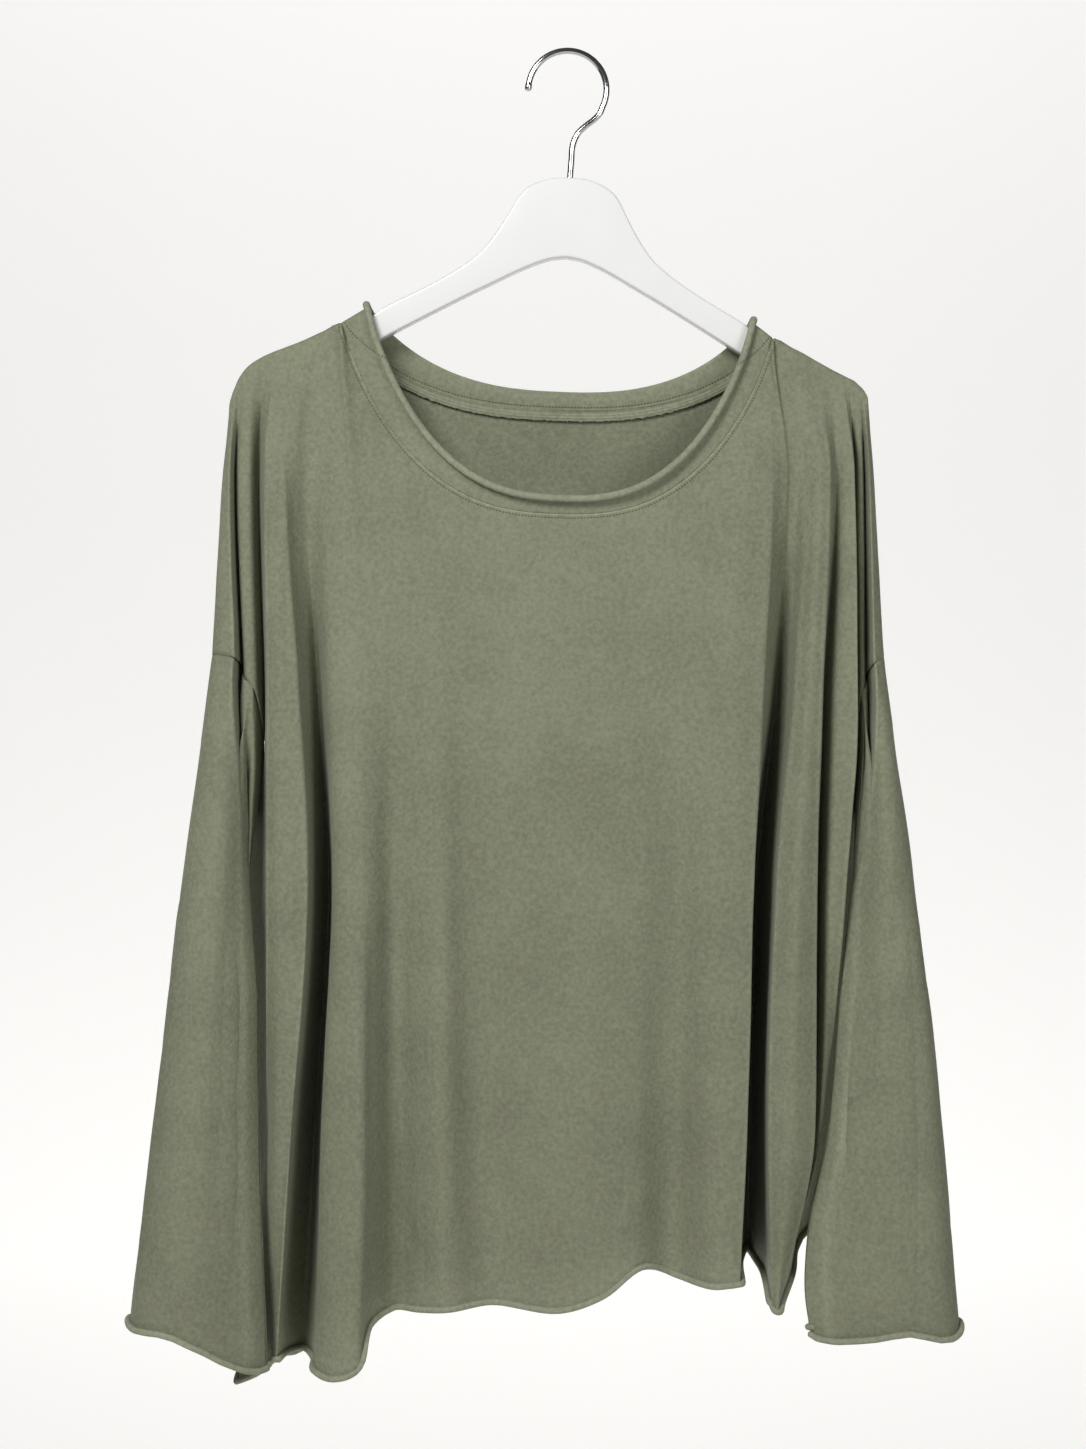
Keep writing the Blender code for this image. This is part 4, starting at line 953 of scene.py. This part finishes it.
def jersey_material():
    """Brushed cotton jersey, garment dyed and washed: matt, cloudy in tone, with a fine crinkle."""
    mat, tree, shader = new_material("washed_cotton_jersey")
    coords = own_coords(tree)
    # The dye takes unevenly, in soft clouds a hand wide and in flecks of a few threads
    clouds = scaled_noise(tree, coords, 55, 3.0)
    flecks = scaled_noise(tree, coords, 3.0, 4.0)
    tone = add_node(tree, "ShaderNodeMath", {1: 2.2}, {0: flecks.outputs["Fac"], 2: clouds.outputs["Fac"]},
                    operation='MULTIPLY_ADD')
    spread = mapped(tree, tone.outputs[0], 0.83, 1.17, 1.1, 2.1)
    # The paling attribute mixes in the paler jersey: washing wear on rolls, hems and neck edges, painted
    # highlight along crisp folds
    wear_and_highlight = add_node(tree, "ShaderNodeAttribute", attribute_name="wear_and_highlight").outputs["Fac"]
    dyed = add_node(tree, "ShaderNodeMix", {6: (*colours().jersey, 1.0), 7: (*colours().jersey_worn_and_highlight, 1.0)},
                    {0: wear_and_highlight}, data_type='RGBA')
    toned = add_node(tree, "ShaderNodeVectorMath", None,
                     {0: dyed.outputs[2], 1: spread}, operation='MULTIPLY')
    # Washing leaves short curled crinkles; real ones are about 1 mm wide, drawn a little wider
    crinkle = scaled_noise(tree, coords, 5.5, 2.0, noise_type='RIDGED_MULTIFRACTAL')
    crinkle.inputs["Distortion"].default_value = 2.2
    # The crinkles are painted into the colour too: paler ridges are painted highlight, darker furrows
    # painted shade
    crinkle_shade_and_highlight = mapped(tree, crinkle.outputs["Fac"], 0.93, 1.11, 0.3, 1.3)
    shaded = add_node(tree, "ShaderNodeVectorMath", None,
                      {0: toned.outputs[0], 1: crinkle_shade_and_highlight}, operation='MULTIPLY')
    tree.links.new(shaded.outputs[0], shader.inputs["Base Color"])
    nap = scaled_noise(tree, coords, 1.5, 3.0)
    height = add_node(tree, "ShaderNodeMath", {1: 0.8},
                      {0: nap.outputs["Fac"], 2: crinkle.outputs["Fac"]}, operation='MULTIPLY_ADD')
    bump = add_node(tree, "ShaderNodeBump", {"Strength": 0.55, "Distance": 0.6 * MM},
                    {"Height": height.outputs[0]})
    tree.links.new(bump.outputs[0], shader.inputs["Normal"])
    set_shader(shader, Roughness=0.92, Specular_IOR_Level=0.25, Sheen_Weight=0.12, Sheen_Roughness=0.45)
    return mat


def thread_material():
    """Sewing thread in the cloth's colour, drawn at 0.32 to 0.6 times it, so that the stitches show as dark
    dots.
    """
    mat, tree, shader = new_material("dyed_sewing_thread")
    coords = own_coords(tree)
    twist = scaled_noise(tree, coords, 1.2)
    tint(tree, shader, colours().jersey, mapped(tree, twist.outputs["Fac"], 0.32, 0.6))
    set_shader(shader, Roughness=0.7)
    return mat


def hanger_material():
    """Injection-moulded ABS, glossy white: a smooth skin with a trace of flow in it."""
    mat, tree, shader = new_material("moulded_white_abs")
    coords = own_coords(tree)
    flow = scaled_noise(tree, coords, 28, 2.0)
    tint(tree, shader, colours().hanger, mapped(tree, flow.outputs["Fac"], 0.975, 1.02))
    skin = scaled_noise(tree, coords, 5, 1.0)
    bump = add_node(tree, "ShaderNodeBump", {"Strength": 0.05, "Distance": 0.1 * MM},
                    {"Height": skin.outputs["Fac"]})
    tree.links.new(bump.outputs[0], shader.inputs["Normal"])
    set_shader(shader, Roughness=0.2, IOR=1.53)
    return mat


def chrome_material():
    """Drawn steel wire with bright chrome plate: mirror-like, with faint drawing lines."""
    mat, tree, shader = new_material("chromed_steel_wire")
    coords = own_coords(tree)
    lines = scaled_noise(tree, coords, 2.5, 3.0)
    tree.links.new(mapped(tree, lines.outputs["Fac"], 0.08, 0.2), shader.inputs["Roughness"])
    set_shader(shader, Base_Color=(*colours().chrome, 1.0), Metallic=1.0)
    return mat


def backdrop_material():
    """Matt painted studio cove, nearly white."""
    mat, tree, shader = new_material("matt_studio_paint")
    coords = own_coords(tree)
    patches = scaled_noise(tree, coords, 400, 1.0)
    tint(tree, shader, colours().backdrop, mapped(tree, patches.outputs["Fac"], 0.985, 1.01))
    # The studio lights its cove from behind as well, so that it shows evenly pale
    set_shader(shader, Roughness=0.95, Emission_Color=(1.0, 0.995, 0.98, 1.0), Emission_Strength=0.5)
    return mat


def shared(maker):
    """The material that this function makes, made once."""
    key = "jersey_top_" + maker.__name__
    mat = bpy.data.materials.get(bpy.context.scene.get(key, ""))
    if mat is None:
        mat = maker()
        bpy.context.scene[key] = mat.name
    return mat


# Operators, one for each piece or group of like pieces

panels = {}


def hang(obj, slot, *nodes):
    """Fasten a finished piece to the body, in place of its nodes; slot is not used."""
    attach(obj, BODY)
    if nodes:
        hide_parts(*nodes)
    return obj


class JERSEYTOP_OT_panels(bpy.types.Operator):
    """Front and back, from the shoulders to their rolled hems"""
    bl_idname = "jersey_top.panels"
    bl_label = "Front and back"

    def execute(self, context):
        jersey = shared(jersey_material)
        for name, folds, arc, side, creases, seed in (
                ("front", FRONT, FRONT_SEAM, -1, FRONT_CREASES, 3.0),
                ("back", BACK, BACK_SEAM, 1, BACK_CREASES, 11.0)):
            obj, panels[name] = build_panel(name + "_jersey", folds, arc, side, creases, seed, jersey)
            hang(obj, "jersey", name)
        return {'FINISHED'}


class JERSEYTOP_OT_sleeves(bpy.types.Operator):
    """Both sleeves, from the folded armholes to the rolled cuffs"""
    bl_idname = "jersey_top.sleeves"
    bl_label = "Sleeves"

    def execute(self, context):
        jersey = shared(jersey_material)
        for name, sections, cuff, left, creases, seed in (
                ("sleeve_left", LEFT_SLEEVE, LEFT_CUFF, True, LEFT_SLEEVE_CREASES, 21.0),
                ("sleeve_right", RIGHT_SLEEVE, RIGHT_CUFF, False, RIGHT_SLEEVE_CREASES, 34.0)):
            obj = build_sleeve(name + "_jersey", panels["front"], panels["back"], sections, cuff,
                               left, creases, seed, jersey)
            hang(obj, "jersey", name)
        return {'FINISHED'}


class JERSEYTOP_OT_neckband(bpy.types.Operator):
    """The neckband with its rolled edge"""
    bl_idname = "jersey_top.neckband"
    bl_label = "Neckband"

    def execute(self, context):
        obj = hang(build_neckband(shared(jersey_material)), "jersey", "neckband")
        return {'FINISHED'}


def apply_modifiers(obj):
    bpy.context.view_layer.objects.active = obj
    for modifier in list(obj.modifiers):
        bpy.ops.object.modifier_apply(modifier=modifier.name)


def settle(obj):
    """Put a finished piece's place into its mesh."""
    deselect()
    obj.select_set(True)
    bpy.context.view_layer.objects.active = obj
    bpy.ops.object.transform_apply(location=True, rotation=True, scale=True)


def hanger_place(x, z):
    """From the hanger's own frame to the part's, in mm."""
    c, s = math.cos(HANGER_TILT), math.sin(HANGER_TILT)
    return HANGER_CENTRE[0] + x * c + z * s, HANGER_CENTRE[1] - x * s + z * c


def build_hanger(material):
    """One arm drawn out of a narrow strip, mirrored, thickened and rounded."""
    knots = [s.x for s in HANGER]
    xs = np.linspace(0.0, 1.0, HANGER_STATIONS + 1) ** HANGER_CROWDING * knots[-1]
    tops = smooth_table(knots, [s.top for s in HANGER], xs) * MM
    bottoms = smooth_table(knots, [s.bottom for s in HANGER], xs) * MM
    xs = xs * MM
    deselect()
    bpy.ops.mesh.primitive_plane_add(size=1.0, location=(xs[1] / 2, 0.0, (tops[0] + bottoms[0]) / 2),
                                     rotation=(math.radians(90), 0.0, 0.0))
    obj = bpy.context.object
    obj.name = "hanger_body"
    obj.scale = (xs[1], tops[0] - bottoms[0], 1.0)
    settle(obj)
    select_points(obj, lambda co: co.x > xs[1] / 2)
    for k in range(1, len(xs)):
        centre = (tops[k] + bottoms[k]) / 2
        last = (tops[k - 1] + bottoms[k - 1]) / 2
        if k > 1:
            bpy.ops.mesh.extrude_region_move(
                TRANSFORM_OT_translate={"value": (xs[k] - xs[k - 1], 0.0, centre - last)})
        else:
            bpy.ops.transform.translate(value=(0.0, 0.0, centre - last))
        ratio = (tops[k] - bottoms[k]) / (tops[k - 1] - bottoms[k - 1])
        bpy.ops.transform.resize(value=(1.0, 1.0, ratio), center_override=(xs[k], 0.0, centre))
    bpy.ops.object.mode_set(mode='OBJECT')
    mirror = obj.modifiers.new("Other arm", 'MIRROR')
    mirror.merge_threshold = 0.01 * MM
    plate = obj.modifiers.new("Thickness", 'SOLIDIFY')
    plate.thickness = HANGER_THICK * MM
    plate.offset = 0.0
    edge = obj.modifiers.new("Rounded edges", 'BEVEL')
    edge.width = HANGER_EDGE * MM
    edge.segments = HANGER_BEVEL_STEPS
    edge.limit_method = 'ANGLE'
    edge.angle_limit = math.radians(50)
    edge.use_clamp_overlap = True
    apply_modifiers(obj)
    obj.rotation_euler = (0.0, HANGER_TILT, 0.0)
    obj.location = (HANGER_CENTRE[0] * MM, 0.0, HANGER_CENTRE[1] * MM)
    settle(obj)
    bpy.ops.object.shade_smooth_by_angle(angle=math.radians(40))
    obj.data.materials.append(material)
    return obj


def on_hook(angle):
    """A place on the hook's round, x and z in mm."""
    return HOOK_CENTRE[0] + HOOK_RADIUS * math.cos(angle), HOOK_CENTRE[1] + HOOK_RADIUS * math.sin(angle)


def build_hook(material):
    """A round of wire drawn up the stem and spun over the hook, with a rounded tip."""
    base = hanger_place(0.0, HANGER[0].top - SOCKET_DEPTH + 1.0)
    crown = hanger_place(0.0, HANGER[0].top)
    start, end = (math.radians(a) for a in HOOK_ARC)
    knots = [[(x, 0.0, z)] for x, z in (base, crown, *HOOK_STEM, on_hook(start))]
    path = across_lines(knots, [HOOK_STEPS] * (len(knots) - 1))[:, 0] * MM
    sides = 4 * sizes().hook_sides
    first = path[1] - path[0]
    deselect()
    bpy.ops.mesh.primitive_circle_add(vertices=sides, radius=WIRE / 2 * MM, fill_type='NGON',
                                      location=path[0])
    obj = bpy.context.object
    obj.name = "hook_wire"
    heading = math.atan2(first[0], first[2])
    obj.rotation_euler = (0.0, heading, 0.0)
    settle(obj)
    select_points(obj, lambda co: True)
    steps = [path[k + 1] - path[k] for k in range(len(path) - 1)]
    for k, step in enumerate(steps):
        bpy.ops.mesh.extrude_region_move(TRANSFORM_OT_translate={"value": tuple(step)})
        ahead = steps[k + 1] if k + 1 < len(steps) else np.array((-math.sin(start), 0.0, math.cos(start)))
        turned = math.atan2(ahead[0], ahead[2]) - heading
        heading += turned
        bpy.ops.transform.rotate(value=-turned, orient_axis='Y', center_override=tuple(path[k + 1]))
    bpy.ops.mesh.spin(steps=HOOK_ARC_STEPS, angle=end - start, axis=(0.0, 1.0, 0.0),
                      center=(HOOK_CENTRE[0] * MM, 0.0, HOOK_CENTRE[1] * MM))
    x, z = on_hook(end)
    tip = np.array((x, 0.0, z)) * MM
    along = np.array((-math.sin(end), 0.0, math.cos(end)))
    size = 1.0
    for reach, swell in HOOK_TIP:
        tip = tip + along * reach * MM
        bpy.ops.mesh.extrude_region_move(TRANSFORM_OT_translate={"value": tuple(along * reach * MM)})
        bpy.ops.transform.resize(value=(swell / size,) * 3, center_override=tuple(tip))
        size = swell
    bpy.ops.mesh.select_all(action='SELECT')
    bpy.ops.mesh.remove_doubles(threshold=0.01 * MM)
    bpy.ops.mesh.normals_make_consistent(inside=False)
    bpy.ops.object.mode_set(mode='OBJECT')
    bpy.ops.object.shade_smooth_by_angle(angle=math.radians(50))
    obj.data.materials.append(material)
    return obj


class JERSEYTOP_OT_hanger(bpy.types.Operator):
    """The moulded hanger and its chromed hook"""
    bl_idname = "jersey_top.hanger"
    bl_label = "Hanger and hook"

    def execute(self, context):
        hang(build_hanger(shared(hanger_material)), "hanger_plastic", "hanger")
        hang(build_hook(shared(chrome_material)), "hook_chrome", "hook")
        return {'FINISHED'}


# Sewing at the neck

class Surface:
    """The cloth of a finished piece, met by a straight line from in front or behind."""

    def __init__(self, obj):
        depsgraph = bpy.context.evaluated_depsgraph_get()
        self.tree = BVHTree.FromObject(obj, depsgraph)

    def meet(self, x, z, side):
        """Point and normal where a line at x, z in mm meets the cloth, seen from this side of it."""
        ray = Vector((0.0, -side, 0.0))
        start = Vector((x * MM, side * 0.4, z * MM))
        place, normal, _, _ = self.tree.ray_cast(start, ray)
        if place is None:
            return None
        if normal.dot(ray) > 0:
            normal = -normal
        return np.array(place) / MM, np.array(normal)


def arc_points(arc, grow, steps=400):
    """Points along a neck arc moved out by grow, x and z in mm."""
    turn = np.linspace(ARC_MARGIN, math.pi - ARC_MARGIN, steps)
    half = (arc.right[0] - arc.left[0]) / 2 + grow
    x = (arc.left[0] + arc.right[0]) / 2 - np.cos(turn) * half
    z, _ = arc_shape(arc, x, grow)
    return np.column_stack([x, z])


def even_points(points, pitch):
    """The same line with a point each pitch."""
    reach = np.concatenate([[0.0], np.cumsum(np.linalg.norm(np.diff(points, axis=0), axis=1))])
    at = np.arange(pitch / 2, reach[-1], pitch)
    return np.column_stack([np.interp(at, reach, points[:, k]) for k in range(2)])


def on_cloth(surface, line, side):
    """Places and normals on the cloth under a line, without those that miss it."""
    met = [surface.meet(x, z, side) for x, z in line]
    met = [m for m in met if m is not None]
    return np.array([m[0] for m in met]), np.array([m[1] for m in met])


def stitch_row(name, places, normals, length, width, material):
    """A stitch at each place: a low bead of thread that lies along the row."""
    points, faces = [], []
    along = np.gradient(places, axis=0)
    along /= length_of(along)
    across = np.cross(along, normals)
    across /= length_of(across)
    count = len(STITCH_SECTION)
    for p, t, a, n in zip(places, along, across, normals):
        first = len(points)
        for reach, swell in STITCH_ALONG:
            for side, rise in STITCH_SECTION:
                points.append(p + t * reach * length + a * side * swell * width / 2
                              + n * (rise * swell * width / 2 - STITCH_SINK))
        for r in range(len(STITCH_ALONG) - 1):
            for c in range(count - 1):
                q = first + r * count + c
                faces.append((q, q + 1, q + count + 1, q + count))
    mesh = bpy.data.meshes.new(name)
    mesh.from_pydata((np.array(points) * MM).tolist(), [], faces)
    mesh.materials.append(material)
    mesh.shade_smooth()
    obj = bpy.data.objects.new(name, mesh)
    bpy.context.scene.collection.objects.link(obj)
    return obj


def build_allowance(surface, material):
    """The raw seam allowance that hangs inside the back's neck, with two ridges of looper thread."""
    across, along = ALLOWANCE_STEPS
    levels = np.linspace(0.0, 1.0, across + 1)
    lines = [arc_points(BACK_SEAM, ALLOWANCE_TOP + level * ALLOWANCE_WIDTH, along) for level in levels]
    columns = []
    for points in zip(*lines):
        met = [surface.meet(x, z, -1) for x, z in points]
        if None not in met:
            columns.append([place for place, _ in met])
    grid = np.array(columns).transpose(1, 0, 2)
    turn_steps = grid.shape[1]
    ridge = np.zeros(len(levels))
    for centre in ALLOWANCE_RIDGES:
        ridge += np.exp(-((levels - centre) / RIDGE_REACH) ** 2)
    stand = ALLOWANCE_REST + ALLOWANCE_STAND * levels ** 0.7
    rough = np.array([noise.noise(Vector((k * 0.31, 4.0, 0.0))) for k in range(turn_steps)])
    fringe = np.array([noise.noise(Vector((k * 0.9, 9.0, 0.0))) for k in range(turn_steps)])
    levels = levels[:, None]
    grid[..., 1] -= (stand + RIDGE_RISE * ridge)[:, None] + ALLOWANCE_WAVE * levels ** 2 * rough[None]
    grid[..., 2] += ALLOWANCE_FRAY * levels ** 8 * (rough + fringe)[None]
    sheet = Sheet()
    # The two looper ridges and the raw edge are drawn paler
    ids = sheet.add(grid, np.clip(ridge, 0, 1)[:, None] * 0.6 + 0.3 * levels ** 10)
    sheet.join(ids)
    obj = sheet.build("neck_allowance", material)
    obj.modifiers["Wall"].thickness = ALLOWANCE_WALL * MM
    return obj


class JERSEYTOP_OT_sewing(bpy.types.Operator):
    """Stitches round the neck, and the overlocked allowance inside the back"""
    bl_idname = "jersey_top.sewing"
    bl_label = "Neck sewing"

    def execute(self, context):
        thread = shared(thread_material)
        pitch = sizes().stitch_pitch / MM
        front = Surface(bpy.data.objects["front_jersey"])
        back = Surface(bpy.data.objects["back_jersey"])
        band = Surface(bpy.data.objects["neckband_jersey"])
        for name, surface, arc, grow, side in (
                ("front_neck_stitches", front, FRONT_SEAM, NECK_GAP + STITCH_OUT, -1),
                ("back_neck_stitches", back, BACK_SEAM, NECK_GAP + STITCH_OUT, 1),
                ("inner_neck_stitches", band, BACK_SEAM, STITCH_IN, -1)):
            line = even_points(arc_points(arc, grow), pitch)
            places, normals = on_cloth(surface, line, side)
            row = stitch_row(name, places, normals, pitch * STITCH_SHARE, STITCH_WIDTH, thread)
            hang(row, "jersey")
        strip = build_allowance(back, shared(jersey_material))
        hang(strip, "jersey")
        return {'FINISHED'}


class JERSEYTOP_OT_stage(bpy.types.Operator):
    """Pale cove, soft lights and the photograph's camera"""
    bl_idname = "jersey_top.stage"
    bl_label = "Stage"

    def execute(self, context):
        build_stage()
        return {'FINISHED'}


def deselect():
    bpy.ops.object.select_all(action='DESELECT')


def select_points(obj, wanted):
    """Enter edit mode with just the vertices that pass the test selected."""
    bpy.ops.object.mode_set(mode='EDIT')
    bpy.ops.mesh.select_mode(type='VERT')
    bpy.ops.mesh.select_all(action='DESELECT')
    bpy.ops.object.mode_set(mode='OBJECT')
    for vertex in obj.data.vertices:
        vertex.select = bool(wanted(vertex.co))
    bpy.ops.object.mode_set(mode='EDIT')


def area_light(lamp):
    data = bpy.data.lights.new(lamp.name, 'AREA')
    data.shape = 'RECTANGLE'
    data.size, data.size_y = lamp.width, lamp.height
    data.energy = lamp.power
    light = bpy.data.objects.new(lamp.name, data)
    light.location = lamp.place
    aim = Vector(lamp.target) - Vector(lamp.place)
    light.rotation_euler = aim.to_track_quat('-Z', 'Y').to_euler()
    light.visible_camera = False
    bpy.context.scene.collection.objects.link(light)


def build_cove():
    """A floor that curves up into a wall, extruded from its rear edge."""
    deselect()
    bpy.ops.mesh.primitive_plane_add(size=1.0, location=(0.0, (COVE_FRONT + COVE_REAR) / 2, FLOOR_Z))
    cove = bpy.context.object
    cove.name = "studio_cove"
    cove.scale = (COVE_WIDTH, COVE_REAR - COVE_FRONT, 1.0)
    bpy.ops.object.transform_apply(location=True, rotation=True, scale=True)
    select_points(cove, lambda co: co.y > COVE_REAR - 0.01)
    for k in range(COVE_STEPS):
        turn = math.radians(90) * (k + 0.5) / COVE_STEPS
        step = COVE_RADIUS * math.radians(90) / COVE_STEPS
        move = (0.0, step * math.cos(turn), step * math.sin(turn))
        bpy.ops.mesh.extrude_region_move(TRANSFORM_OT_translate={"value": move})
    bpy.ops.mesh.extrude_region_move(TRANSFORM_OT_translate={"value": (0.0, 0.0, COVE_HEIGHT)})
    bpy.ops.object.mode_set(mode='OBJECT')
    cove.data.shade_smooth()
    cove.data.materials.append(shared(backdrop_material))


def build_world():
    """A dim room, so that recesses go dark, which looks pale where the camera sees it."""
    world = bpy.data.worlds.new("studio_room")
    world.use_nodes = True
    tree = world.node_tree
    seen = add_node(tree, "ShaderNodeLightPath").outputs["Is Camera Ray"]
    level = mapped(tree, seen, WORLD_FILL, WORLD_SEEN)
    tree.links.new(level, tree.nodes["Background"].inputs["Strength"])
    tree.nodes["Background"].inputs["Color"].default_value = (1.0, 1.0, 0.99, 1.0)
    bpy.context.scene.world = world


def build_camera():
    data = bpy.data.cameras.new("camera")
    data.lens = data.sensor_width * CAMERA_DISTANCE / (PHOTO_SIZE[1] * MM_PER_PIXEL * MM)
    camera = bpy.data.objects.new("camera", data)
    camera.location = (CAMERA_X * MM, -CAMERA_DISTANCE, CAMERA_Z * MM)
    camera.rotation_euler = (math.radians(90), 0.0, 0.0)
    bpy.context.scene.collection.objects.link(camera)
    bpy.context.scene.camera = camera
    bpy.context.scene.view_settings.view_transform = 'Standard'


def build_stage():
    build_cove()
    for lamp in LAMPS:
        area_light(lamp)
    build_world()
    build_camera()


class JERSEYTOP_PT_panel(bpy.types.Panel):
    """Lists the pieces in the order in which they are made"""
    bl_idname = "JERSEYTOP_PT_panel"
    bl_label = "Jersey Top"
    bl_space_type = 'VIEW_3D'
    bl_region_type = 'UI'
    bl_category = "Jersey Top"

    def draw(self, context):
        for group in (context.scene.jersey_top_sizes, context.scene.jersey_top_colours):
            for key in group.bl_rna.properties.keys():
                if key not in ("rna_type", "name"):
                    self.layout.prop(group, key)
        for operator in OPERATORS:
            self.layout.operator(operator.bl_idname)


OPERATORS = (JERSEYTOP_OT_panels, JERSEYTOP_OT_sleeves, JERSEYTOP_OT_neckband, JERSEYTOP_OT_sewing,
             JERSEYTOP_OT_hanger, JERSEYTOP_OT_stage)
CLASSES = (JerseyTopSizes, JerseyTopColours, *OPERATORS, JERSEYTOP_PT_panel)


def register():
    for cls in CLASSES:
        bpy.utils.register_class(cls)
    bpy.types.Scene.jersey_top_sizes = PointerProperty(type=JerseyTopSizes)
    bpy.types.Scene.jersey_top_colours = PointerProperty(type=JerseyTopColours)


def unregister():
    del bpy.types.Scene.jersey_top_colours
    del bpy.types.Scene.jersey_top_sizes
    for cls in reversed(CLASSES):
        bpy.utils.unregister_class(cls)


def main():
    register()
    bpy.ops.jersey_top.stage()
    bpy.ops.jersey_top.panels()
    bpy.ops.jersey_top.sleeves()
    bpy.ops.jersey_top.neckband()
    bpy.ops.jersey_top.sewing()
    bpy.ops.jersey_top.hanger()


if __name__ == "__main__":
    main()
